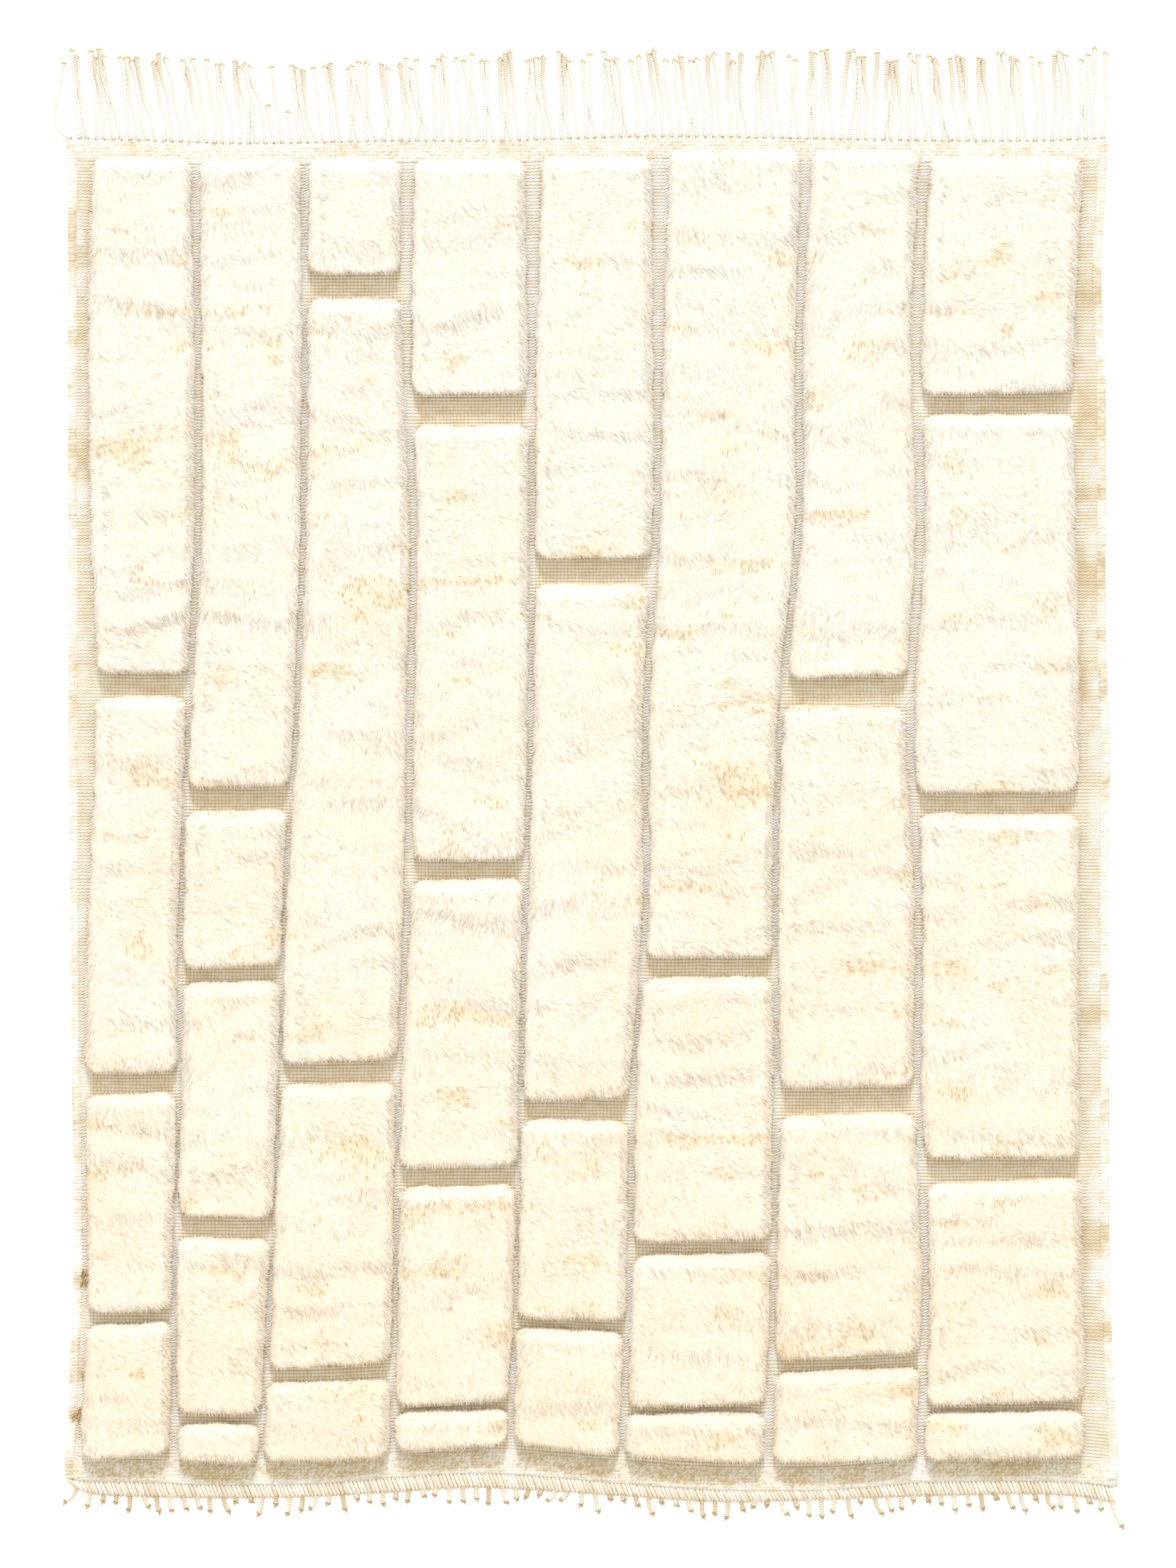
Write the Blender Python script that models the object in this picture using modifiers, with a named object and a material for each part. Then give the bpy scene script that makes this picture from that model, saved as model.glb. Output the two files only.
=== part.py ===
"""A hand-knotted Moroccan shag rug, lying flat, with its long twisted fringe towards +Y.

Three pieces make it:
  rug_body       the woven cloth, with 35 raised blocks of knotted pile in eight columns
  fringe_top     the heading cord of the upper end, with the long knotted warp strands
  fringe_bottom  the overcast edging of the lower end, with its short warp ends

X runs across the rug, Y along it and Z up. The underside lies on Z = 0, and the middle of
the whole rug, fringes included, is the origin. The tables are in millimetres.
"""

import math
import random
from collections import namedtuple

import bmesh
import bpy
from mathutils import Vector

MM = 0.001

# ---------------------------------------------------------------- driving dimensions (mm)
GROUND_THICK = 7.0  # the flat-woven cloth
EDGE_ROUND = 2.4  # rounded upper rim of the cloth, where the selvedges are wrapped
PILE_TOP = 33.0  # usual height of the pile over the floor
PILE_LUMP = 3.0  # how far a lump of pile rises over that, or sinks under it
PILE_CROWN = 1.2  # how much higher a block is along its middle
RIM_LUMP = 2.4  # how far the rim of a block wanders in and out
BLOCK_CORNER = 17.0  # radius of a block's corners
LUMP_PITCH = 78.0  # distance between two rows of lumps along a block
PARTING = 0.3  # gap between two pieces
SIDE_STEP = 110.0  # about how far apart the points of a selvedge are
END_STEP = 76.0  # and those of the two woven ends

HEADING_DEEP = 9.0  # the heading cord that holds the upper fringe
STRAND_PITCH = 13.1
FIRST_ROOT, LAST_ROOT = 9.0, 7.0  # from the cloth's corners to the outer strands
STRAND_WIDE = 5.6
STRAND_HIGH = 5.2
KNOT_WIDE = 8.6
KNOT_HIGH = 7.4
KNOT_LONG = 9.0
NECK_SHARE = 0.85  # the strand is drawn in this much where its knot begins
KNOT_PEAK = 0.45  # share of the knot's length where it is thickest
TUFT_WIDE, TUFT_HIGH = 4.4, 4.2  # the cut tuft past the knot

EDGING_THICK = 8.0  # the overcast edging that holds the lower ends
END_PITCH = 20.6
FIRST_END, LAST_END = 16.0, 22.0  # from the edging's corners to the outer short ends
END_STRAIGHT = 20.0  # length of a short end that hangs straight down
END_SHORTEST, END_LONGER = 16.0, 18.0  # the shortest end, and what a leaning one may add
END_SPREAD = 52.0  # degrees that a short end may lean to either side
END_TRIES = 60  # draws for one end, calmer and calmer, until it keeps clear of the others
END_CLEAR = 10.1  # least distance between the middles of two short ends
UPRIGHT_SHARE = 0.7  # of a backing's thickness, the height of its upright edges
CHAMFER_SHARE = 0.22  # of its width, taken by each chamfer above them
ROOT_IN = 4.5  # how deep a strand's root lies in its backing
ROOT_LIFT = 1.2  # how high over the floor a strand leaves its backing
ROOT_HIGH = 3.2  # its height there, less than the backing's upright edge

# ---------------------------------------------------------------- tables (mm)
# Where the pile begins and where the ribbed channels between the eight columns run,
# at eight distances along the rug: the outer rim of column 1, seven channel middles,
# and the outer rim of column 8.
Station = namedtuple("Station", "along rim_1 c12 c23 c34 c45 c56 c67 c78 rim_8")
STATIONS = (
    Station(-1034, -784, -642, -508, -305, -124, 48, 275, 509, 762),
    Station(-748, -773, -641, -492, -300, -114, 61, 283, 517, 757),
    Station(-462, -777, -634, -479, -295, -107, 66, 287, 505, 752),
    Station(-176, -771, -631, -471, -282, -100, 86, 285, 506, 751),
    Station(110, -760, -619, -453, -278, -92, 86, 294, 493, 752),
    Station(396, -768, -605, -443, -273, -90, 102, 321, 509, 746),
    Station(682, -772, -605, -440, -283, -90, 105, 322, 503, 745),
    Station(968, -765, -610, -441, -282, -87, 108, 333, 515, 758),
)

# How wide each channel is left between the two rims of pile.
Widths = namedtuple("Widths", "along c12 c23 c34 c45 c56 c67 c78")
WIDTHS = (
    Widths(-1020, 13, 12, 13, 12, 14, 17, 17),
    Widths(-600, 11, 9, 11, 10, 13, 13, 15),
    Widths(0, 12, 11, 15, 12, 13, 13, 16),
    Widths(640, 15, 13, 17, 16, 18, 16, 20),
    Widths(950, 17, 16, 25, 29, 30, 20, 21),
)

# The bare cross gaps that part a column into blocks: their middle and width at the
# column's left and right rim.
CrossGap = namedtuple("CrossGap", "column left right left_wide right_wide")
CROSS_GAPS = (
    CrossGap(1, 153, 154, 41, 40),
    CrossGap(1, -463, -458, 37, 35),
    CrossGap(1, -825, -819, 22, 19),
    CrossGap(2, -25, -20, 40, 40),
    CrossGap(2, -295, -291, 25, 28),
    CrossGap(2, -681, -684, 37, 36),
    CrossGap(2, -977, -978, 18, 16),
    CrossGap(3, 768, 768, 42, 41),
    CrossGap(3, -447, -441, 33, 42),
    CrossGap(3, -913, -903, 24, 30),
    CrossGap(4, 577, 578, 50, 51),
    CrossGap(4, -132, -131, 35, 33),
    CrossGap(4, -607, -602, 33, 33),
    CrossGap(4, -962, -956, 12, 15),
    CrossGap(5, 329, 329, 44, 46),
    CrossGap(5, -503, -500, 30, 41),
    CrossGap(5, -829, -835, 18, 20),
    CrossGap(6, -283, -281, 34, 34),
    CrossGap(6, -716, -711, 23, 25),
    CrossGap(6, -965, -960, 12, 16),
    CrossGap(7, 143, 143, 44, 53),
    CrossGap(7, -491, -485, 46, 46),
    CrossGap(7, -898, -887, 21, 25),
    CrossGap(8, 585, 589, 34, 38),
    CrossGap(8, -29, -29, 35, 40),
    CrossGap(8, -596, -591, 43, 38),
    CrossGap(8, -963, -957, 14, 18),
)

# Where each column's pile starts and ends.
ColumnEnds = namedtuple("ColumnEnds", "column top bottom_left bottom_right")
COLUMN_ENDS = (
    ColumnEnds(1, 964, -1040, -1030),
    ColumnEnds(2, 964, -1042, -1044),
    ColumnEnds(3, 964, -1043, -1036),
    ColumnEnds(4, 963, -1028, -1015),
    ColumnEnds(5, 966, -1014, -1034),
    ColumnEnds(6, 978, -1035, -1044),
    ColumnEnds(7, 976, -1044, -1041),
    ColumnEnds(8, 966, -1040, -1035),
)

# The cloth's outline: its two selvedges, and the upper and lower line of weaving.
SideEdge = namedtuple("SideEdge", "along left right")
SIDE_EDGES = (
    SideEdge(-1084, -806, 808),
    SideEdge(-1056, -811, 815),
    SideEdge(-990, -806, 813),
    SideEdge(-900, -803, 808),
    SideEdge(-740, -797, 802),
    SideEdge(-440, -800, 801),
    SideEdge(-160, -803, 800),
    SideEdge(66, -805, 802),
    SideEdge(220, -805, 796),
    SideEdge(594, -806, 796),
    SideEdge(792, -806, 789),
    SideEdge(924, -806, 796),
    SideEdge(1004, -809, 800),
)
EndEdge = namedtuple("EndEdge", "across line")
TOP_EDGE = (
    EndEdge(-810, 1001),
    EndEdge(-691, 998),
    EndEdge(-536, 993),
    EndEdge(-299, 997),
    EndEdge(-145, 997),
    EndEdge(-53, 1000),
    EndEdge(110, 1004),
    EndEdge(310, 1001),
    EndEdge(481, 998),
    EndEdge(672, 997),
    EndEdge(798, 1001),
)
EdgingRow = namedtuple("EdgingRow", "across upper lower")
EDGING = (
    EdgingRow(-808, -1068, -1076),
    EdgingRow(-794, -1074, -1088),
    EdgingRow(-770, -1077, -1096),
    EdgingRow(-700, -1078, -1100),
    EdgingRow(-561, -1082, -1102),
    EdgingRow(-430, -1080, -1100),
    EdgingRow(-305, -1071, -1093),
    EdgingRow(-180, -1064, -1086),
    EdgingRow(-74, -1069, -1091),
    EdgingRow(50, -1080, -1099),
    EdgingRow(200, -1090, -1108),
    EdgingRow(366, -1090, -1104),
    EdgingRow(520, -1078, -1099),
    EdgingRow(690, -1076, -1096),
    EdgingRow(760, -1079, -1101),
    EdgingRow(809, -1085, -1111),
)

# Two strands that stand out from the rest: points from their root, along the floor.
CORNER_STRAND = ((0, 0), (-16, 9), (-25, 24), (-24, 70), (-19, 122))
CORNER_TAIL = ((0, 0), (4, -14), (12, -32), (19, -44))
# How far the upper strands are combed sideways, and how long they are, along the fringe.
Comb = namedtuple("Comb", "across lean long")
COMBED = (
    Comb(-800, -12, 134),
    Comb(-700, -24, 136),
    Comb(-560, -16, 122),
    Comb(-420, -18, 117),
    Comb(-300, -9, 122),
    Comb(-160, -10, 130),
    Comb(0, -10, 131),
    Comb(160, -11, 127),
    Comb(330, -4, 131),
    Comb(440, 6, 133),
    Comb(560, -18, 130),
    Comb(680, -8, 133),
    Comb(790, 7, 136),
)
TIP_APART = 9.6  # least distance between two neighbouring tips
TIP_WANDER = 3.6  # how far a strand has its own way, at its tip and at its middle
MID_WANDER = 1.0
SHORTER, LONGER = 12.0, 7.0  # how much its length may differ from its neighbours'
BOW, BOW_WAVE = 2.0, 53.0  # neighbours bow alike, in slow waves along the fringe
MIDDLE_AT, MIDDLE_LEAN = 0.42, 0.3  # where a strand bends, and how far it has leaned there
# Strands, counted from the left, that have lost their ends, and what is left of them.
BROKEN_OFF = {24: 62.0, 26: 52.0}

FRINGE_SEED = 11
ENDS_SEED = 23
PILE_SEED = 5


# ---------------------------------------------------------------- helpers
def smooth(places, values, at):
    """The value at a place on a soft curve through the table's rows."""
    last = len(places) - 1
    if at <= places[0]:
        return values[0]
    if at >= places[last]:
        return values[last]
    i = max(k for k in range(last) if places[k] <= at)

    def slope(k):
        before, after = max(k - 1, 0), min(k + 1, last)
        return (values[after] - values[before]) / (places[after] - places[before])

    span = places[i + 1] - places[i]
    t = (at - places[i]) / span
    return (
        (2 * t**3 - 3 * t**2 + 1) * values[i]
        + (t**3 - 2 * t**2 + t) * span * slope(i)
        + (3 * t**2 - 2 * t**3) * values[i + 1]
        + (t**3 - t**2) * span * slope(i + 1)
    )


def column_of(rows, name, at, by="along"):
    """One named column of a table, read at a place."""
    places = [getattr(row, by) for row in rows]
    return smooth(places, [getattr(row, name) for row in rows], at)


def mix(a, b, share):
    return a + (b - a) * share


def evenly(start, end, pitch):
    """Places from start to end, about one pitch apart."""
    steps = max(1, round(abs(end - start) / pitch))
    return [mix(start, end, k / steps) for k in range(steps + 1)]


def places_along(rows, pitch):
    """The table's own places, and more between them where they are far apart."""
    places = [row.across for row in rows]
    spans = [evenly(a, b, pitch) for a, b in zip(places, places[1:])]
    return [x for span in spans for x in span[:-1]] + places[-1:]


def point(x, y, z):
    return Vector((x, y, z)) * MM


def cloth_material(name, colour, roughness):
    material = bpy.data.materials.new(name)
    material.use_nodes = True
    shader = material.node_tree.nodes["Principled BSDF"]
    shader.inputs["Base Color"].default_value = (*colour, 1.0)
    shader.inputs["Roughness"].default_value = roughness
    shader.inputs["Metallic"].default_value = 0.0
    material.diffuse_color = (*colour, 1.0)
    return material


def new_object(name, bm, collection, material=None):
    mesh = bpy.data.meshes.new(name)
    bmesh.ops.recalc_face_normals(bm, faces=bm.faces)
    bm.to_mesh(mesh)
    bm.free()
    made = bpy.data.objects.new(name, mesh)
    collection.objects.link(made)
    if material:
        mesh.materials.append(material)
    return made


def as_helper(made):
    """A shape that is only joined to another one."""
    made.hide_render = True
    made.display_type = "WIRE"
    return made


def join_on(base, helper):
    helper.parent = base
    union = base.modifiers.new("join " + helper.name, "BOOLEAN")
    union.operation = "UNION"
    union.solver = "EXACT"
    union.object = helper


def loft(bm, rings):
    """Skins closed rings of points one after another, and closes both ends."""
    rows = [[bm.verts.new(p) for p in ring] for ring in rings]
    for lower, upper in zip(rows, rows[1:]):
        for k, corner in enumerate(lower):
            after = (k + 1) % len(lower)
            bm.faces.new((corner, lower[after], upper[after], upper[k]))
    bm.faces.new(rows[0][::-1])
    bm.faces.new(rows[-1])


# ---------------------------------------------------------------- the woven cloth
def top_line(x):
    return column_of(TOP_EDGE, "line", x, "across")


def heading_line(x):
    """Where the cloth ends and the heading cord begins."""
    return top_line(x) - HEADING_DEEP


def edging_line(x, side="upper"):
    return column_of(EDGING, side, x, "across")


def cloth_outline():
    """The corner points of the cloth, round from the lower left."""
    low, high = EDGING[0].upper, TOP_EDGE[0].line - HEADING_DEEP
    left = [(column_of(SIDE_EDGES, "left", y), y) for y in evenly(high, low, SIDE_STEP)]
    bottom = [(x, edging_line(x) + PARTING) for x in places_along(EDGING, END_STEP)]
    low, high = EDGING[-1].upper, TOP_EDGE[-1].line - HEADING_DEEP
    right = [(column_of(SIDE_EDGES, "right", y), y) for y in evenly(low, high, SIDE_STEP)]
    top = [(x, heading_line(x) - PARTING) for x in places_along(TOP_EDGE, END_STEP)]
    return bottom + right[1:-1] + top[::-1] + left[1:-1]


def make_cloth(collection, material):
    """The flat sheet, its upper rim rounded by a bevel."""
    bm = bmesh.new()
    outline = cloth_outline()
    loft(bm, [[point(x, y, z) for x, y in outline] for z in (0.0, GROUND_THICK)])
    cloth = new_object("rug_body", bm, collection, material)
    weights = cloth.data.attributes.new("bevel_weight_edge", "FLOAT", "EDGE")
    for edge in cloth.data.edges:
        ends = [cloth.data.vertices[k].co.z for k in edge.vertices]
        weights.data[edge.index].value = 1.0 if min(ends) > 0.5 * GROUND_THICK * MM else 0.0
    rounding = cloth.modifiers.new("rounded rim", "BEVEL")
    rounding.limit_method = "WEIGHT"
    rounding.width = EDGE_ROUND * MM
    rounding.segments = 1
    return cloth


# ---------------------------------------------------------------- the blocks of pile
CHANNELS = ("c12", "c23", "c34", "c45", "c56", "c67", "c78")
Block = namedtuple("Block", "column top_left top_right bottom_left bottom_right")


def rim_of(column, side, y):
    """Across the rug, where a column's pile has its left or right rim."""
    if column == 1 and side == "left":
        return column_of(STATIONS, "rim_1", y)
    if column == 8 and side == "right":
        return column_of(STATIONS, "rim_8", y)
    channel = CHANNELS[column - 2 if side == "left" else column - 1]
    half = column_of(WIDTHS, channel, y) / 2
    return column_of(STATIONS, channel, y) + (half if side == "left" else -half)


def blocks():
    """Every block of pile, column by column and downwards."""
    for ends in COLUMN_ENDS:
        top = (ends.top, ends.top)
        for gap in (g for g in CROSS_GAPS if g.column == ends.column):
            upper = (gap.left + gap.left_wide / 2, gap.right + gap.right_wide / 2)
            yield Block(ends.column, *top, *upper)
            top = (gap.left - gap.left_wide / 2, gap.right - gap.right_wide / 2)
        yield Block(ends.column, *top, ends.bottom_left, ends.bottom_right)


def block_grid(block):
    """Shares of the block's width and length where its lumps sit, rims included."""
    long = (block.top_left + block.top_right - block.bottom_left - block.bottom_right) / 2
    middle = (block.top_left + block.bottom_left) / 2
    wide = rim_of(block.column, "right", middle) - rim_of(block.column, "left", middle)
    inner = evenly(BLOCK_CORNER / long, 1 - BLOCK_CORNER / long, LUMP_PITCH / long)
    across = (0.0, BLOCK_CORNER / wide, 0.5, 1 - BLOCK_CORNER / wide, 1.0)
    return across, (0.0, *inner, 1.0)


# The rings of a block's side, from inside the cloth up: height, and how far inwards.
SideRing = namedtuple("SideRing", "height inset")
FOOT, BELLY, SHOULDER = SideRing(4.0, 5.0), SideRing(16.0, 0.0), SideRing(26.5, 5.0)


def add_block(bm, block, chance):
    """A pillow of pile: it bulges at its belly, is drawn in at its foot and lumpy on top."""
    across, along = block_grid(block)
    outward = {0.0: -1.0, 1.0: 1.0}
    drawn_in = BLOCK_CORNER * (1 - math.sqrt(0.5))
    spot, push = {}, {}
    for i, s in enumerate(across):
        for j, t in enumerate(along):
            low = mix(block.bottom_left, block.bottom_right, s)
            y = mix(low, mix(block.top_left, block.top_right, s), t)
            x = mix(rim_of(block.column, "left", y), rim_of(block.column, "right", y), s)
            push[i, j] = Vector((outward.get(s, 0.0), outward.get(t, 0.0)))
            wander = chance.uniform(-RIM_LUMP, RIM_LUMP)
            corner = push[i, j].x and push[i, j].y
            spot[i, j] = Vector((x, y)) + push[i, j] * (-drawn_in if corner else wander)

    last_i, last_j = len(across) - 1, len(along) - 1
    rim = [(i, 0) for i in range(last_i)] + [(last_i, j) for j in range(last_j)]
    rim += [(i, last_j) for i in range(last_i, 0, -1)] + [(0, j) for j in range(last_j, 0, -1)]

    def ring(side):
        places = (spot[key] - push[key].normalized() * side.inset for key in rim)
        return [bm.verts.new(point(x, y, side.height)) for x, y in places]

    foot, belly, shoulder = ring(FOOT), ring(BELLY), ring(SHOULDER)
    top = dict(zip(rim, shoulder))
    for j in range(1, last_j):
        row_lump = chance.uniform(-0.6, 0.6)
        for i in range(1, last_i):
            lump = PILE_LUMP * (row_lump + chance.uniform(-0.5, 0.5))
            crown = PILE_CROWN if across[i] == 0.5 else 0.0
            top[i, j] = bm.verts.new(point(*spot[i, j], PILE_TOP + crown + lump))
    for lower, upper in ((foot, belly), (belly, shoulder)):
        for k in range(len(rim)):
            after = (k + 1) % len(rim)
            bm.faces.new((lower[k], lower[after], upper[after], upper[k]))
    for i in range(last_i):
        for j in range(last_j):
            bm.faces.new((top[i, j], top[i + 1, j], top[i + 1, j + 1], top[i, j + 1]))
    bm.faces.new(foot[::-1])


# Locks of wool that stand out at a block's lower rim and hang over the cross gap:
# the share of the block's width at their root, and how far they lean sideways.
RimLock = namedtuple("RimLock", "share lean")
RIM_LOCKS = (RimLock(0.27, -5.0), RimLock(0.71, 4.0))
LOCK_WIDE, LOCK_LOW, LOCK_HIGH = 15.0, 12.0, 24.0  # its root's width, underside and ridge
LOCK_ROOT, LOCK_OUT = 12.0, 7.0  # how far its root lies in, and its tip out of, the rim
LOCK_TIP = 13.5  # height of its tip


def add_lock(bm, block, lock):
    """A three-sided lock, its root buried in the block and its tip pointing down the rug."""
    y = mix(block.bottom_left, block.bottom_right, lock.share)
    left, right = rim_of(block.column, "left", y), rim_of(block.column, "right", y)
    x = mix(left, right, lock.share)
    root = [
        point(x - LOCK_WIDE / 2, y + LOCK_ROOT, LOCK_LOW),
        point(x + LOCK_WIDE / 2, y + LOCK_ROOT, LOCK_LOW),
        point(x, y + LOCK_ROOT, LOCK_HIGH),
    ]
    corners = [bm.verts.new(p) for p in root]
    tip = bm.verts.new(point(x + lock.lean, y - LOCK_OUT, LOCK_TIP))
    bm.faces.new(corners)
    for a, b in zip(corners, corners[1:] + corners[:1]):
        bm.faces.new((b, a, tip))


def make_pile(helpers):
    chance = random.Random(PILE_SEED)
    pile, locks = bmesh.new(), bmesh.new()
    for block in blocks():
        add_block(pile, block, chance)
        for lock in RIM_LOCKS:
            add_lock(locks, block, lock)
    made = (("pile_blocks", pile), ("rim_locks", locks))
    return [as_helper(new_object(name, bm, helpers)) for name, bm in made]


# ---------------------------------------------------------------- strands
def add_strand(bm, path):
    """A three-sided strand along the floor, knotted at its tip."""
    places = [Vector(p) for p in path]
    lengths = [(b - a).length for a, b in zip(places, places[1:])]
    knot_from = places[-1] + (places[-2] - places[-1]).normalized() * KNOT_LONG
    stops = [*places[:-1], knot_from, mix(knot_from, places[-1], KNOT_PEAK), places[-1]]
    sizes = [(STRAND_WIDE, STRAND_HIGH)] * (len(places) - 1)
    sizes += [(NECK_SHARE * STRAND_WIDE, STRAND_HIGH), (KNOT_WIDE, KNOT_HIGH)]
    sizes.append((TUFT_WIDE, TUFT_HIGH))
    if lengths[-1] < 1.3 * KNOT_LONG:
        # A short end has no room for another ring before its knot.
        del stops[-4], sizes[-4]
    rings = []
    for k, (stop, (wide, high)) in enumerate(zip(stops, sizes)):
        before, after = stops[max(k - 1, 0)], stops[min(k + 1, len(stops) - 1)]
        ahead = (after - before).normalized()
        side = Vector((-ahead.y, ahead.x)) * wide / 2
        low, high = (ROOT_LIFT, ROOT_HIGH) if k == 0 else (0.0, high)
        left, right = stop + side, stop - side
        rings.append([point(*left, low), point(*right, low), point(*stop, low + high)])
    loft(bm, rings)


def upper_strands():
    """The path of each long strand, from its root in the heading to its knotted tip."""
    chance = random.Random(FRINGE_SEED)
    first, last = TOP_EDGE[0].across + FIRST_ROOT, TOP_EDGE[-1].across - LAST_ROOT
    roots = evenly(first, last, STRAND_PITCH)
    tips = []
    for x in roots:
        tip = x + column_of(COMBED, "lean", x, "across")
        tip += chance.uniform(-TIP_WANDER, TIP_WANDER)
        tips.append(max(tip, tips[-1] + TIP_APART) if tips else tip)
    paths = []
    for k, (x, tip) in enumerate(zip(roots, tips)):
        root = Vector((x, top_line(x) - ROOT_IN))
        long = column_of(COMBED, "long", x, "across") + chance.uniform(-SHORTER, LONGER)
        bow = BOW * math.sin(x / BOW_WAVE) + chance.uniform(-MID_WANDER, MID_WANDER)
        kept = BROKEN_OFF.get(k, long) / long
        middle = root + Vector((MIDDLE_LEAN * (tip - x) + bow, MIDDLE_AT * long))
        end = root + Vector((tip - x, long + ROOT_IN))
        if k == 0:
            paths.append([root + Vector(step) for step in CORNER_STRAND])
        else:
            middle = root.lerp(middle, min(1.0, 1.6 * kept))
            paths.append([root, middle, root.lerp(end, kept)])
    return paths


def stops_on(path):
    """Points all along a path, the tip with its knot included."""
    shares = (0.2, 0.4, 0.6, 0.8, 1.0)
    return [a.lerp(b, s) for a, b in zip(path, path[1:]) for s in shares]


def clear_of(path, others, apart):
    """Whether a short end keeps apart from others."""
    there = [stop for other in others for stop in stops_on(other)]
    return all((a - b).length > apart for a in stops_on(path) for b in there)


def lower_ends():
    """The path of each short end under the edging, no two of them touching."""
    chance = random.Random(ENDS_SEED)
    first, last = EDGING[0].across + FIRST_END, EDGING[-1].across - LAST_END
    count = round((last - first) / END_PITCH) + 1

    def root_at(k):
        x = mix(first, last, k / (count - 1))
        return Vector((x, edging_line(x, "lower") + ROOT_IN))

    paths = []
    for k in range(count):
        root, after = root_at(k), root_at(k + 1)
        # The next end has to find room too, at least to hang straight down.
        taken = [*paths[-2:], [after, after - Vector((0.0, END_STRAIGHT))]]
        for attempt in range(END_TRIES):
            calm = 1 - attempt / END_TRIES
            long = chance.uniform(END_SHORTEST, END_STRAIGHT + END_LONGER * calm)
            angle = math.radians(chance.uniform(-END_SPREAD, END_SPREAD)) * calm
            reach = Vector((math.sin(angle), -math.cos(angle))) * long
            bend = Vector((0.0, -0.5 * long))
            path = [root, root + 0.5 * (bend + 0.5 * reach), root + reach]
            if clear_of(path, taken, END_CLEAR):
                break
        paths.append(path)
    corner = Vector((EDGING[-1].across - 4.0, EDGING[-1].lower + ROOT_IN))
    paths.append([corner + Vector(step) for step in CORNER_TAIL])
    return paths


def make_backing(name, upper, lower, places, thick, collection, material):
    """A narrow strip that holds the strands' roots, its upper long edges chamfered."""
    rings = []
    upright = UPRIGHT_SHARE * thick
    for x in places:
        high, low = upper(x), lower(x)
        soft = CHAMFER_SHARE * (high - low)
        section = ((low, 0.0), (high, 0.0), (high, upright))
        section += ((high - soft, thick), (low + soft, thick), (low, upright))
        rings.append([point(x, y, z) for y, z in section])
    bm = bmesh.new()
    loft(bm, rings)
    return new_object(name, bm, collection, material)


def make_strands(name, paths, helpers):
    bm = bmesh.new()
    for path in paths:
        add_strand(bm, path)
    return as_helper(new_object(name, bm, helpers))


def make_fringe_top(collection, helpers, material):
    places = places_along(TOP_EDGE, END_STEP)
    made = make_backing(
        "fringe_top", top_line, heading_line, places, GROUND_THICK, collection, material
    )
    join_on(made, make_strands("upper_strands", upper_strands(), helpers))
    return made


def make_fringe_bottom(collection, helpers, material):
    made = make_backing(
        "fringe_bottom",
        edging_line,
        lambda x: edging_line(x, "lower"),
        places_along(EDGING, END_STEP),
        EDGING_THICK,
        collection,
        material,
    )
    join_on(made, make_strands("lower_ends", lower_ends(), helpers))
    return made


# ---------------------------------------------------------------- the whole rug
def centre_on_floor(pieces):
    """Hangs the pieces on an empty that puts the middle of their common box at the origin."""
    bpy.context.view_layer.update()
    graph = bpy.context.evaluated_depsgraph_get()
    corners = []
    for piece in pieces:
        shape = piece.evaluated_get(graph).to_mesh()
        corners += [vertex.co.copy() for vertex in shape.vertices]
        piece.evaluated_get(graph).to_mesh_clear()
    low = Vector([min(c[k] for c in corners) for k in range(3)])
    high = Vector([max(c[k] for c in corners) for k in range(3)])
    middle = bpy.data.objects.new("rug", None)
    pieces[0].users_collection[0].objects.link(middle)
    middle.location = (-(low.x + high.x) / 2, -(low.y + high.y) / 2, -low.z)
    for piece in pieces:
        piece.parent = middle
    print("box", [round(v / MM, 2) for v in (*low, *high)])


def main():
    for made in list(bpy.data.objects):
        bpy.data.objects.remove(made)
    rug = bpy.data.collections.new("beni ourain rug")
    helpers = bpy.data.collections.new("helpers")
    for collection in (rug, helpers):
        bpy.context.scene.collection.children.link(collection)

    wool = cloth_material("undyed wool pile", (0.87, 0.80, 0.68), 0.95)
    warp = cloth_material("twisted wool warp", (0.83, 0.74, 0.60), 0.9)
    binding = cloth_material("overcast wool edging", (0.80, 0.71, 0.56), 0.9)

    body = make_cloth(rug, wool)
    for helper in make_pile(helpers):
        join_on(body, helper)
    fringe_top = make_fringe_top(rug, helpers, warp)
    fringe_bottom = make_fringe_bottom(rug, helpers, binding)
    centre_on_floor([body, fringe_top, fringe_bottom])


main()
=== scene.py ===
# %% [markdown]
# # A hand-knotted shag rug from the Middle Atlas
# The real rug is one flat-woven wool cloth. Thirty-five cushions of long undyed pile are
# knotted into it, in eight columns, with bare ribbed channels left between them. Its upper
# end runs out in a long fringe of twisted, knotted warp strands. Its lower end is overcast,
# and short bits of warp hang under it.
#
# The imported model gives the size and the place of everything. This lesson dresses it:
# first light and camera, then cloth, pile and fringes, each as mesh built from a few sizes.

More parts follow.
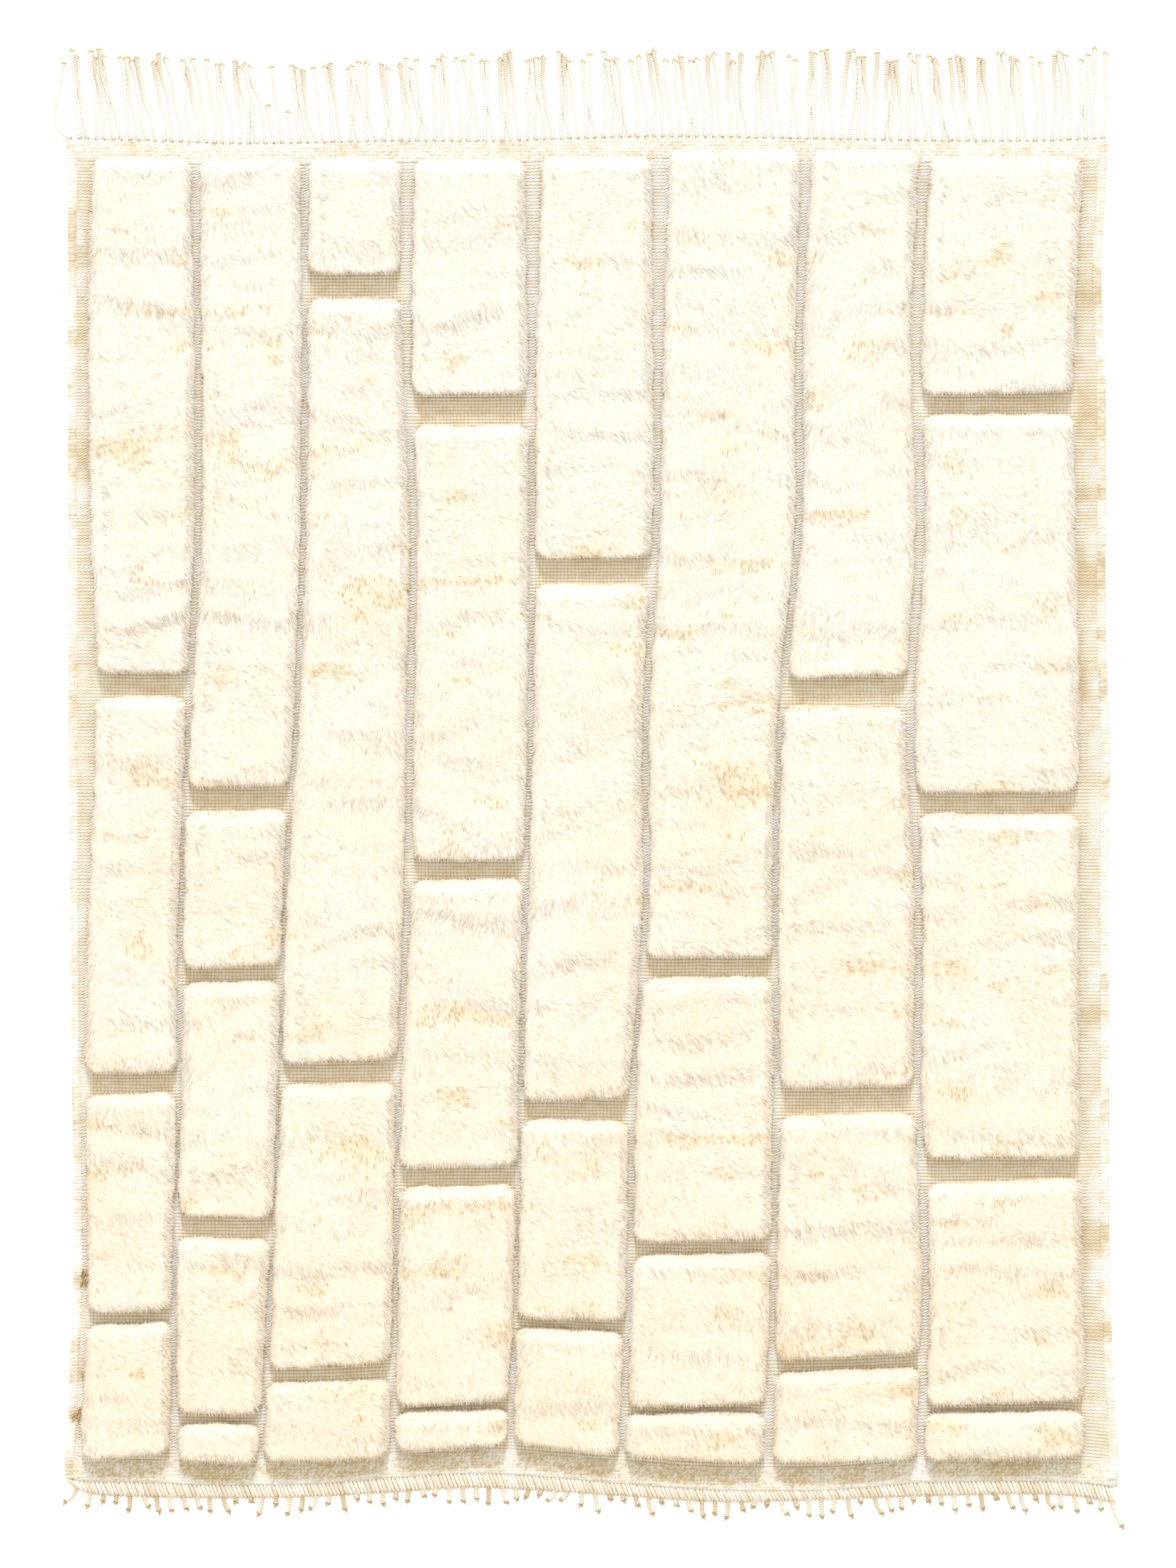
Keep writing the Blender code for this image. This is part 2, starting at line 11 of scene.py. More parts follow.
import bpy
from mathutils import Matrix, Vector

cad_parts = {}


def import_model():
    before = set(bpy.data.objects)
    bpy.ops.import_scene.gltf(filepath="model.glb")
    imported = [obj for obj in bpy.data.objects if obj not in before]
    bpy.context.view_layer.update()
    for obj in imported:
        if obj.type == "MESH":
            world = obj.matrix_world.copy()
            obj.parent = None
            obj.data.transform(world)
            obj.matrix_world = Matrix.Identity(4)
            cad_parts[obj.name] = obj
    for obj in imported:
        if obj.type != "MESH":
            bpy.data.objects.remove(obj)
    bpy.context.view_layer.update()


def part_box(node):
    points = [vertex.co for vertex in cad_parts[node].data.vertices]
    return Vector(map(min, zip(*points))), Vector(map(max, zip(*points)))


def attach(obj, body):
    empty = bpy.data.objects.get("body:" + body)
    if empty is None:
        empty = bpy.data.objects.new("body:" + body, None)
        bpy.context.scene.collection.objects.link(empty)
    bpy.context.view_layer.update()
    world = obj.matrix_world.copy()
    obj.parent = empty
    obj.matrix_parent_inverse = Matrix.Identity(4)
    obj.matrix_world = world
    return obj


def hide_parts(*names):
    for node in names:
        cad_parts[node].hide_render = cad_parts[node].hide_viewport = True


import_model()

# %% What else is needed
import math
import random
from collections import namedtuple
from functools import partial

import bpy
import numpy as np

MM = 0.001
scene = bpy.context.scene

# %% [markdown]
# ## The rug's own millimetres
# A weaver would measure from the middle of the cloth: X across it, Y along it, towards the
# fringe. The solids were drawn so too, and then moved until the middle of the whole rug,
# fringes included, lay on the origin. `world` makes that same move, so every number below
# can be read off the rug with a tape measure.


# %% From millimetres on the rug to metres in the scene
MIDDLE_X, MIDDLE_Y = -1.44, -4.985


def world(x, y, z):
    """Points in the scene's metres, from places on the rug in millimetres."""
    x, y, z = np.broadcast_arrays(np.asarray(x, float) - MIDDLE_X, np.asarray(y) - MIDDLE_Y, z)
    return np.stack([x, y, z], axis=-1) * MM


body_low, body_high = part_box("rug_body")
print("cloth and pile, mm:", [round((b - a) / MM, 1) for a, b in zip(body_low, body_high)])

# %% [markdown]
# ## Tables
# A handmade rug is never straight, so its outline and its channels are short tables with
# named columns, and a soft curve runs through the rows of each.

# %% The outline of the cloth
SideEdge = namedtuple("SideEdge", "along left right")
SIDE_EDGES = (
    SideEdge(-1084, -806, 808),
    SideEdge(-1056, -811, 815),
    SideEdge(-990, -806, 813),
    SideEdge(-900, -803, 808),
    SideEdge(-740, -797, 802),
    SideEdge(-440, -800, 801),
    SideEdge(-160, -803, 800),
    SideEdge(66, -805, 802),
    SideEdge(220, -805, 796),
    SideEdge(594, -806, 796),
    SideEdge(792, -806, 789),
    SideEdge(924, -806, 796),
    SideEdge(1004, -809, 800),
)
EndEdge = namedtuple("EndEdge", "across line")
TOP_EDGE = (
    EndEdge(-810, 1001),
    EndEdge(-691, 998),
    EndEdge(-536, 993),
    EndEdge(-299, 997),
    EndEdge(-145, 997),
    EndEdge(-53, 1000),
    EndEdge(110, 1004),
    EndEdge(310, 1001),
    EndEdge(481, 998),
    EndEdge(672, 997),
    EndEdge(798, 1001),
)
EdgingRow = namedtuple("EdgingRow", "across upper lower")
EDGING = (
    EdgingRow(-808, -1068, -1076),
    EdgingRow(-794, -1074, -1088),
    EdgingRow(-770, -1077, -1096),
    EdgingRow(-700, -1078, -1100),
    EdgingRow(-561, -1082, -1102),
    EdgingRow(-430, -1080, -1100),
    EdgingRow(-305, -1071, -1093),
    EdgingRow(-180, -1064, -1086),
    EdgingRow(-74, -1069, -1091),
    EdgingRow(50, -1080, -1099),
    EdgingRow(200, -1090, -1108),
    EdgingRow(366, -1090, -1104),
    EdgingRow(520, -1078, -1099),
    EdgingRow(690, -1076, -1096),
    EdgingRow(760, -1079, -1101),
    EdgingRow(809, -1085, -1111),
)
print("outline rows", len(SIDE_EDGES), len(TOP_EDGE), len(EDGING))

# %% The channels between the columns, and the blocks of pile
# Where the pile begins and where the channels run: the outer rim of column 1, seven
# channel middles, and the outer rim of column 8.
Station = namedtuple("Station", "along rim_1 c12 c23 c34 c45 c56 c67 c78 rim_8")
STATIONS = (
    Station(-1034, -784, -642, -508, -305, -124, 48, 275, 509, 762),
    Station(-748, -773, -641, -492, -300, -114, 61, 283, 517, 757),
    Station(-462, -777, -634, -479, -295, -107, 66, 287, 505, 752),
    Station(-176, -771, -631, -471, -282, -100, 86, 285, 506, 751),
    Station(110, -760, -619, -453, -278, -92, 86, 294, 493, 752),
    Station(396, -768, -605, -443, -273, -90, 102, 321, 509, 746),
    Station(682, -772, -605, -440, -283, -90, 105, 322, 503, 745),
    Station(968, -765, -610, -441, -282, -87, 108, 333, 515, 758),
)
Widths = namedtuple("Widths", "along c12 c23 c34 c45 c56 c67 c78")
WIDTHS = (
    Widths(-1020, 13, 12, 13, 12, 14, 17, 17),
    Widths(-600, 11, 9, 11, 10, 13, 13, 15),
    Widths(0, 12, 11, 15, 12, 13, 13, 16),
    Widths(640, 15, 13, 17, 16, 18, 16, 20),
    Widths(950, 17, 16, 25, 29, 30, 20, 21),
)
# The bare cross gaps: their middle and width at the column's left and right rim.
CrossGap = namedtuple("CrossGap", "column left right left_wide right_wide")
CROSS_GAPS = (
    CrossGap(1, 153, 154, 41, 40),
    CrossGap(1, -463, -458, 37, 35),
    CrossGap(1, -825, -819, 22, 19),
    CrossGap(2, -25, -20, 40, 40),
    CrossGap(2, -295, -291, 25, 28),
    CrossGap(2, -681, -684, 37, 36),
    CrossGap(2, -977, -978, 18, 16),
    CrossGap(3, 768, 768, 42, 41),
    CrossGap(3, -447, -441, 33, 42),
    CrossGap(3, -913, -903, 24, 30),
    CrossGap(4, 577, 578, 50, 51),
    CrossGap(4, -132, -131, 35, 33),
    CrossGap(4, -607, -602, 33, 33),
    CrossGap(4, -962, -956, 12, 15),
    CrossGap(5, 329, 329, 44, 46),
    CrossGap(5, -503, -500, 30, 41),
    CrossGap(5, -829, -835, 18, 20),
    CrossGap(6, -283, -281, 34, 34),
    CrossGap(6, -716, -711, 23, 25),
    CrossGap(6, -965, -960, 12, 16),
    CrossGap(7, 143, 143, 44, 53),
    CrossGap(7, -491, -485, 46, 46),
    CrossGap(7, -898, -887, 21, 25),
    CrossGap(8, 585, 589, 34, 38),
    CrossGap(8, -29, -29, 35, 40),
    CrossGap(8, -596, -591, 43, 38),
    CrossGap(8, -963, -957, 14, 18),
)
ColumnEnds = namedtuple("ColumnEnds", "column top bottom_left bottom_right")
COLUMN_ENDS = (
    ColumnEnds(1, 964, -1040, -1030),
    ColumnEnds(2, 964, -1042, -1044),
    ColumnEnds(3, 964, -1043, -1036),
    ColumnEnds(4, 963, -1028, -1015),
    ColumnEnds(5, 966, -1014, -1034),
    ColumnEnds(6, 978, -1035, -1044),
    ColumnEnds(7, 976, -1044, -1041),
    ColumnEnds(8, 966, -1040, -1035),
)
print("cross gaps", len(CROSS_GAPS))


# %% Reading a table
def smooth(places, values, at):
    """Values on a soft curve through a table's rows, at one place or at many."""
    places, values = np.array(places, float), np.array(values, float)
    inner = (values[2:] - values[:-2]) / (places[2:] - places[:-2])
    first = (values[1] - values[0]) / (places[1] - places[0])
    last = (values[-1] - values[-2]) / (places[-1] - places[-2])
    slopes = np.concatenate(([first], inner, [last]))
    at = np.clip(at, places[0], places[-1])
    row = np.clip(np.searchsorted(places, at, side="right") - 1, 0, len(places) - 2)
    span = places[row + 1] - places[row]
    t = (at - places[row]) / span
    return (
        (2 * t**3 - 3 * t**2 + 1) * values[row]
        + (t**3 - 2 * t**2 + t) * span * slopes[row]
        + (3 * t**2 - 2 * t**3) * values[row + 1]
        + (t**3 - t**2) * span * slopes[row + 1]
    )


def column_of(rows, name, at, by="along"):
    """One named column of a table, read at a place."""
    return smooth([getattr(row, by) for row in rows], [getattr(row, name) for row in rows], at)


def top_line(x):
    return column_of(TOP_EDGE, "line", x, "across")


def edging_line(x, side="upper"):
    return column_of(EDGING, side, x, "across")


CHANNELS = ("c12", "c23", "c34", "c45", "c56", "c67", "c78")


def rim_of(column, side, y):
    """Across the rug, where a column's pile has its left or right rim."""
    if column == 1 and side == "left":
        return column_of(STATIONS, "rim_1", y)
    if column == len(COLUMN_ENDS) and side == "right":
        return column_of(STATIONS, "rim_8", y)
    channel = CHANNELS[column - 2 if side == "left" else column - 1]
    half = column_of(WIDTHS, channel, y) / 2
    return column_of(STATIONS, channel, y) + (half if side == "left" else -half)


print("cloth at the middle, mm:", [round(float(edging_line(0))), round(float(top_line(0)))])

# %% The blocks, column by column and downwards
Block = namedtuple("Block", "column top_left top_right bottom_left bottom_right")


def blocks():
    for ends in COLUMN_ENDS:
        top = (ends.top, ends.top)
        for gap in (g for g in CROSS_GAPS if g.column == ends.column):
            upper = (gap.left + gap.left_wide / 2, gap.right + gap.right_wide / 2)
            yield Block(ends.column, *top, *upper)
            top = (gap.left - gap.left_wide / 2, gap.right - gap.right_wide / 2)
        yield Block(ends.column, *top, ends.bottom_left, ends.bottom_right)


BLOCKS = list(blocks())
print("blocks of pile", len(BLOCKS))


# %% [markdown]
# ## Soft chance
# Wool wanders, but neighbours wander together. `drift` is a table of random values with
# soft slopes between them, so a height, a lean or a shade can change slowly over the rug.
# Every draw has a seed, so the rug comes out the same each time.


# %% Slowly changing random values
def drift(x, y, across, along, seed):
    """Soft values between -1 and 1, in patches of about across by along millimetres."""
    cells = 128
    values = np.random.default_rng(seed).uniform(-1, 1, (cells, cells))
    u, v = np.asarray(x) / across, np.asarray(y) / along
    i, j = np.floor(u).astype(int), np.floor(v).astype(int)
    s, t = u - i, v - j
    s, t = s * s * (3 - 2 * s), t * t * (3 - 2 * t)
    i0, i1, j0, j1 = i % cells, (i + 1) % cells, j % cells, (j + 1) % cells
    low = values[i0, j0] * (1 - s) + values[i1, j0] * s
    high = values[i0, j1] * (1 - s) + values[i1, j1] * s
    return low * (1 - t) + high * t


def mix(a, b, share):
    return a + (b - a) * share


def evenly(start, end, pitch):
    """Places from start to end, about one pitch apart."""
    steps = max(1, round(abs(end - start) / pitch))
    return [mix(start, end, k / steps) for k in range(steps + 1)]


print("drift at the middle", round(float(drift(0, 0, 100, 100, 1)), 3))

# %% [markdown]
# ## Floor, light and camera
# The rug is seen from straight above, on a plain pale floor that is lit until it is white.
# A broad sky of light fills every hollow. One low lamp beyond the fringe rakes over the
# rug, so that the upper rims of the blocks shine and their lower rims throw a shadow as
# long as the pile is high.

# %% The camera, high above the middle of the frame
FRAME_HIGH = 2420.0  # mm of floor from the upper to the lower border of the picture
FRAME_MIDDLE = (-3.3, 0.0)  # the spot straight under the camera, on the rug
CAMERA_UP = 14000.0
SENSOR = 36.0

camera = bpy.data.objects.new("camera", bpy.data.cameras.new("camera"))
camera.data.sensor_width = SENSOR
camera.data.lens = SENSOR * CAMERA_UP / FRAME_HIGH
camera.data.clip_end = 3 * CAMERA_UP * MM
camera.location = world(*FRAME_MIDDLE, CAMERA_UP)
scene.collection.objects.link(camera)
scene.camera = camera
scene.view_settings.view_transform = "Standard"
print("lens, mm:", round(camera.data.lens, 1))

# %% The lamp and the sky
LAMP_ELEVATION = 29.0  # degrees over the floor, from the shadows' length
LAMP_SWING = 1.0
LAMP_SIZE = 9.0  # degrees across: how soft the shadows' borders are
LAMP_POWER = 2.5
LAMP_COLOUR = "#F0F4FF"
SKY_POWER = 1.15
SKY_COLOUR = "#F3F2F0"


def linear(hex_colour):
    """A colour in the scene's light, from the sRGB hex that a painter would write."""
    parts = [int(hex_colour[k : k + 2], 16) / 255 for k in (1, 3, 5)]
    return [c / 12.92 if c <= 0.04045 else ((c + 0.055) / 1.055) ** 2.4 for c in parts]


lamp = bpy.data.objects.new("raking lamp", bpy.data.lights.new("raking lamp", "SUN"))
lamp.data.energy = LAMP_POWER
lamp.data.angle = math.radians(LAMP_SIZE)
lamp.data.color = linear(LAMP_COLOUR)
lamp.rotation_euler = (math.radians(LAMP_ELEVATION - 90), 0, math.radians(LAMP_SWING))
scene.collection.objects.link(lamp)

sky = bpy.data.worlds.new("studio sky")
sky.use_nodes = True
sky.node_tree.nodes["Background"].inputs["Color"].default_value = (*linear(SKY_COLOUR), 1)
sky.node_tree.nodes["Background"].inputs["Strength"].default_value = SKY_POWER
scene.world = sky
print("lamp", LAMP_POWER, "sky", SKY_POWER)


# %% [markdown]
# ## Materials
# Everything here is sheep's wool, undyed. Wool has scales on its fibres, so it scatters
# light: it is rough all over, with a faint sheen where many fibre ends stand up. Its IOR
# is 1.55. What differs from piece to piece is how it was spun and how clean it has stayed.


# %% One helper for nodes, and the start of every wool
MIX_A, MIX_B, MIX_OUT = 6, 7, 2  # a colour Mix node's sockets


def add_node(material, kind, links=None, values=None, stops=(), **properties):
    """Adds a node: its properties, {socket: output} links, {socket: value} constants, and
    for a colour ramp its stops, each a place from 0 to 1 and a hex colour."""
    node = material.node_tree.nodes.new(kind)
    for name, value in properties.items():
        setattr(node, name, value)
    for socket, value in (values or {}).items():
        node.inputs[socket].default_value = value
    for socket, output in (links or {}).items():
        material.node_tree.links.new(output, node.inputs[socket])
    for k, (place, colour) in enumerate(stops):
        if k >= 2:
            node.color_ramp.elements.new(place)
        node.color_ramp.elements[k].position = place
        node.color_ramp.elements[k].color = (*linear(colour), 1)
    return node


WOOL_IOR = 1.55
WOOL_ROUGH = 0.92
WOOL_SHEEN, SHEEN_ROUGH = 0.1, 0.6
WOOL_SHINE = 0.25  # fat and dirt leave less of the shine that bare wool would have
MULTIPLY = {"data_type": "RGBA", "blend_type": "MULTIPLY"}


def wool(name):
    """A wool to finish: its Principled shader has the values that all wools share."""
    material = bpy.data.materials.new(name)
    material.use_nodes = True
    shader = material.node_tree.nodes["Principled BSDF"]
    shader.inputs["Roughness"].default_value = WOOL_ROUGH
    shader.inputs["IOR"].default_value = WOOL_IOR
    shader.inputs["Specular IOR Level"].default_value = WOOL_SHINE
    shader.inputs["Sheen Weight"].default_value = WOOL_SHEEN
    shader.inputs["Sheen Roughness"].default_value = SHEEN_ROUGH
    return material, shader


print("wool IOR", WOOL_IOR)

# %% [markdown]
# ### Handspun pile wool
# A lock is cream at its combed tip, and warmer down at its root: a little greasy, and also
# painted shade deep in the pile. Every lock carries two marks: its own luck, and the place
# along it. In the painted crevices the second starts from 0, and the tan root shows there as
# painted shade. The lower end of the rug has been walked on most, so it is a little warmer.
# Real fibres are a thirtieth of a millimetre thick, far too fine to show, so the streaks
# stand for bundles of them, 1.5 mm wide, combed the way that the pile lies.

# %% Handspun pile wool
PATCH = 140  # mm: the size of a patch of tone
BEND, BENT_BY = 70, 45  # mm: how often the combing turns, and how far it is pushed aside
WORN_BY = 0.3  # how much warmer the pile is for each metre nearer to the lower end
BUNDLE = (11, 1.5, 6)  # mm: length, width and depth of a bundle of fibres
COMBED_TO = -45  # degrees
STREAKS_SHOWN = 0.7

pile_wool, shader = wool("handspun pile wool")
node = partial(add_node, pile_wool)
lock = node("ShaderNodeAttribute", attribute_name="lock")
marks = node("ShaderNodeSeparateXYZ", {"Vector": lock.outputs["Vector"]})
spot = node("ShaderNodeTexCoord").outputs["Object"]
# From root to tip: the tan at the root is partly painted shade deep in the pile.
depth = node(
    "ShaderNodeValToRGB",
    {"Fac": marks.outputs["Y"]},
    stops=((0.0, "#D8B87E"), (0.22, "#F0DFBC"), (0.38, "#F1EADD")),
)
patch_size = {"Scale": 1 / (PATCH * MM), "Detail": 3.0}
patches = node("ShaderNodeTexNoise", {"Vector": spot}, patch_size)
along = node("ShaderNodeSeparateXYZ", {"Vector": spot}).outputs["Y"]
worn = node(
    "ShaderNodeMath",
    {0: along, 2: patches.outputs["Fac"]},
    {1: -WORN_BY},
    operation="MULTIPLY_ADD",
)
tone = node(
    "ShaderNodeValToRGB",
    {"Fac": worn.outputs[0]},
    stops=((0.25, "#FDFEFF"), (0.85, "#FCF6EC")),
)
luck = node(
    "ShaderNodeValToRGB",
    {"Fac": marks.outputs["X"]},
    stops=((0.0, "#FBF7F0"), (0.6, "#FFFFFF")),
)
turning = node(
    "ShaderNodeTexNoise", {"Vector": spot}, {"Scale": 1 / (BEND * MM), "Detail": 1.0}
)
bent = node(
    "ShaderNodeVectorMath",
    {0: turning.outputs["Color"], 2: spot},
    {1: (BENT_BY * MM,) * 3},
    operation="MULTIPLY_ADD",
)
combed = node(
    "ShaderNodeMapping",
    {"Vector": bent.outputs["Vector"]},
    {"Rotation": (0, 0, math.radians(COMBED_TO)), "Scale": [size * MM for size in BUNDLE]},
    vector_type="TEXTURE",
)
bundles = node(
    "ShaderNodeTexNoise", {"Vector": combed.outputs["Vector"]}, {"Scale": 1.0, "Detail": 2.5}
)
streaks = node(
    "ShaderNodeValToRGB",
    {"Fac": bundles.outputs["Fac"]},
    stops=((0.38, "#EBDFCB"), (0.6, "#FFFFFF")),
)
# The patch's tone, the lock's luck and the streaks each take a little off the lock's colour.
colour = depth.outputs["Color"]
for layer, share in ((tone, 1.0), (luck, 1.0), (streaks, STREAKS_SHOWN)):
    both = {MIX_A: colour, MIX_B: layer.outputs["Color"]}
    colour = node("ShaderNodeMix", both, {"Factor": share}, **MULTIPLY).outputs[MIX_OUT]
fibre_bump = node(
    "ShaderNodeBump",
    {"Height": bundles.outputs["Fac"]},
    {"Strength": 0.3, "Distance": 1.0 * MM},
)
pile_wool.node_tree.links.new(colour, shader.inputs["Base Color"])
pile_wool.node_tree.links.new(fibre_bump.outputs["Normal"], shader.inputs["Normal"])
print("pile wool nodes", len(pile_wool.node_tree.nodes))

# %% [markdown]
# ### Handspun weft wool
# The weft is thicker, duller yarn, beaten down into ribs. Its crests are painted nearly white
# and its grooves brown: painted shade between the ribs. Three marks on the mesh say what to
# show: how far a place is from groove to crest, which sets that painted shade; whether the
# bump is slanted plies, or the small squares of plain weave; and whether the ribs lie bare in
# a cross gap, where a faint darker line is painted across them at each warp, as shade.

# %% Handspun weft wool
PLY = 3.4  # mm between two plies, seen as slanted lines along each rib
PLY_SLANT = 62  # degrees
DUST, DUST_SHOWN = 18, 0.8  # mm, and how strongly it shows
WARPS = 5.5  # mm between the darker lines painted across the ribs at the warps, in the cross gaps: painted shade
WARP_APART, WEFT_APART = 6.0, 5.1  # mm between crossings

weft_wool, shader = wool("handspun weft wool")
node = partial(add_node, weft_wool)
weave = node("ShaderNodeAttribute", attribute_name="weave")
marks = node("ShaderNodeSeparateXYZ", {"Vector": weave.outputs["Vector"]})
spot = node("ShaderNodeTexCoord").outputs["Object"]
# From groove to crest: the brown at the grooves is painted shade between the ribs.
crest = node(
    "ShaderNodeValToRGB",
    {"Fac": marks.outputs["X"]},
    stops=((0.0, "#CDB88A"), (0.3, "#E9DFCB"), (0.7, "#F4F0E9")),
)
dust_and_shade = node("ShaderNodeTexNoise", {"Vector": spot}, {"Scale": 1 / (DUST * MM), "Detail": 4.0})
dusty = node(
    "ShaderNodeValToRGB",
    {"Fac": dust_and_shade.outputs["Fac"]},
    stops=((0.35, "#F4ECDD"), (0.62, "#FFFFFF")),
)
tinted = node(
    "ShaderNodeMix",
    {MIX_A: crest.outputs["Color"], MIX_B: dusty.outputs["Color"]},
    {"Factor": DUST_SHOWN},
    **MULTIPLY,
)
# Painted shade: in the cross gaps a faint darker line is painted across the ribs at each warp,
# between the humps that it presses.
warp_waves = {"Scale": math.pi / 10 / (WARPS * MM), "Distortion": 2.2}
warp_waves |= {"Detail": 1.0, "Detail Scale": 2.0}
warps = node("ShaderNodeTexWave", {"Vector": spot}, warp_waves)
between = node(
    "ShaderNodeValToRGB",
    {"Fac": warps.outputs["Fac"]},
    stops=((0.05, "#F0E4CA"), (0.45, "#FFFFFF")),
)
both = {MIX_A: tinted.outputs[MIX_OUT], MIX_B: between.outputs["Color"]}
crossed = node("ShaderNodeMix", {"Factor": marks.outputs["Z"], **both}, **MULTIPLY)

slanted = node(
    "ShaderNodeMapping", {"Vector": spot}, {"Rotation": (0, 0, math.radians(PLY_SLANT))}
)
ply_waves = {"Scale": 1 / (PLY * math.pi * MM), "Distortion": 2.5, "Detail": 2.0}
plies = node("ShaderNodeTexWave", {"Vector": slanted.outputs["Vector"]}, ply_waves)
axes = node("ShaderNodeSeparateXYZ", {"Vector": spot})
waves = []
for axis, apart in (("X", WARP_APART), ("Y", WEFT_APART)):
    pace = {1: math.pi / (apart * MM)}
    turns = node("ShaderNodeMath", {0: axes.outputs[axis]}, pace, operation="MULTIPLY")
    waves.append(node("ShaderNodeMath", {0: turns.outputs[0]}, operation="SINE").outputs[0])
crossing = node("ShaderNodeMath", dict(enumerate(waves)), operation="MULTIPLY")
squares = node("ShaderNodeMath", {0: crossing.outputs[0]}, operation="ABSOLUTE")
WOVEN_A, WOVEN_B, WOVEN_OUT = 2, 3, 0  # a float Mix node's sockets
both = {WOVEN_A: plies.outputs["Fac"], WOVEN_B: squares.outputs[0]}
woven = node("ShaderNodeMix", {"Factor": marks.outputs["Y"], **both}, data_type="FLOAT")
yarn_bump = node(
    "ShaderNodeBump",
    {"Height": woven.outputs[WOVEN_OUT]},
    {"Strength": 0.6, "Distance": 1.2 * MM},
)
weft_wool.node_tree.links.new(crossed.outputs[MIX_OUT], shader.inputs["Base Color"])
weft_wool.node_tree.links.new(yarn_bump.outputs["Normal"], shader.inputs["Normal"])
print("weft wool nodes", len(weft_wool.node_tree.nodes))

# %% [markdown]
# ### Twisted warp wool
# The fringe is warp: combed, hard-twisted, whiter and smoother than pile. Its groove between
# the plies is painted tan, as shade, and its knots and tips have yellowed with handling.

# %% Twisted warp wool
FIBRE = 1.8  # mm: fluff on the yarn

warp_wool, shader = wool("twisted warp wool")
node = partial(add_node, warp_wool)
strand = node("ShaderNodeAttribute", attribute_name="lock")
marks = node("ShaderNodeSeparateXYZ", {"Vector": strand.outputs["Vector"]})
spot = node("ShaderNodeTexCoord").outputs["Object"]
yellowed = node(
    "ShaderNodeValToRGB",
    {"Fac": marks.outputs["Y"]},
    stops=((0.0, "#FBF9F5"), (0.5, "#F0E8D9"), (1.0, "#CBB68A")),
)
# Painted shade: tan in the groove between the plies.
groove = node(
    "ShaderNodeValToRGB",
    {"Fac": marks.outputs["X"]},
    stops=((0.0, "#C9B994"), (0.3, "#F2EBDE"), (0.8, "#FFFFFF")),
)
both = {MIX_A: yellowed.outputs["Color"], MIX_B: groove.outputs["Color"]}
plied = node("ShaderNodeMix", both, {"Factor": 1.0}, **MULTIPLY)
fibres = node("ShaderNodeTexNoise", {"Vector": spot}, {"Scale": 1 / (FIBRE * MM), "Detail": 2.0})
strand_bump = node(
    "ShaderNodeBump",
    {"Height": fibres.outputs["Fac"]},
    {"Strength": 0.35, "Distance": 0.8 * MM},
)
warp_wool.node_tree.links.new(plied.outputs[MIX_OUT], shader.inputs["Base Color"])
warp_wool.node_tree.links.new(strand_bump.outputs["Normal"], shader.inputs["Normal"])
print("warp wool nodes", len(warp_wool.node_tree.nodes))

# %% The floor
FLOOR_GLOW = 0.45  # the light under a studio table, which takes the rug's shadow off it
FLOOR_HALF = 20.0
FLOOR_DROP = -0.0005

floor_paint = bpy.data.materials.new("matt white studio floor")
floor_paint.use_nodes = True
floor_shader = floor_paint.node_tree.nodes["Principled BSDF"]
floor_shader.inputs["Base Color"].default_value = (*linear("#F6F6F4"), 1)
floor_shader.inputs["Roughness"].default_value = 0.9
floor_shader.inputs["Emission Color"].default_value = (1, 1, 1, 1)
floor_shader.inputs["Emission Strength"].default_value = FLOOR_GLOW

floor_mesh = bpy.data.meshes.new("floor")
square = [(-1, -1), (1, -1), (1, 1), (-1, 1)]
corners = [(a * FLOOR_HALF, b * FLOOR_HALF, FLOOR_DROP) for a, b in square]
floor_mesh.from_pydata(corners, [], [range(4)])
floor_mesh.materials.append(floor_paint)
floor = bpy.data.objects.new("floor", floor_mesh)
scene.collection.objects.link(floor)
print("floor, m:", 2 * FLOOR_HALF)

# %% [markdown]
# ## Two ways to make a mesh
# A modifier or a hair system could grow wool, but it leaves no mesh of its own. Here every
# strand and lock is real mesh, laid down as whole arrays of points, because numpy does a
# hundred thousand locks in the time that a loop takes for a few hundred. `skin` closes
# tubes round rings of points, and `make_piece` turns arrays into an object.


# %% From arrays to an object
def make_piece(name, points, faces, material, marks=None, normals=None):
    """An object on the rug's body from points, arrays of corner numbers and named marks."""
    mesh = bpy.data.meshes.new(name)
    faces = [f for f in faces if len(f)]
    corners = np.concatenate([f.ravel() for f in faces]).astype(np.int32)
    sizes = np.concatenate([np.full(len(f), f.shape[1]) for f in faces])
    mesh.vertices.add(len(points))
    mesh.vertices.foreach_set("co", points.astype(np.float32).ravel())
    mesh.loops.add(len(corners))
    mesh.loops.foreach_set("vertex_index", corners)
    mesh.polygons.add(len(sizes))
    starts = np.concatenate(([0], np.cumsum(sizes)[:-1])).astype(np.int32)
    mesh.polygons.foreach_set("loop_start", starts)
    mesh.update(calc_edges=True)
    mesh.shade_smooth()
    if normals is not None:
        mesh.normals_split_custom_set_from_vertices(normals.astype(np.float32))
    for mark, values in (marks or {}).items():
        attribute = mesh.attributes.new(mark, "FLOAT_VECTOR", "POINT")
        attribute.data.foreach_set("vector", values.astype(np.float32).ravel())
    mesh.materials.append(material)
    piece = bpy.data.objects.new(name, mesh)
    scene.collection.objects.link(piece)
    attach(piece, "root")
    triangles = int((sizes - 2).sum())
    print(f"{name}: {len(points)} points, {triangles} triangles")
    return piece


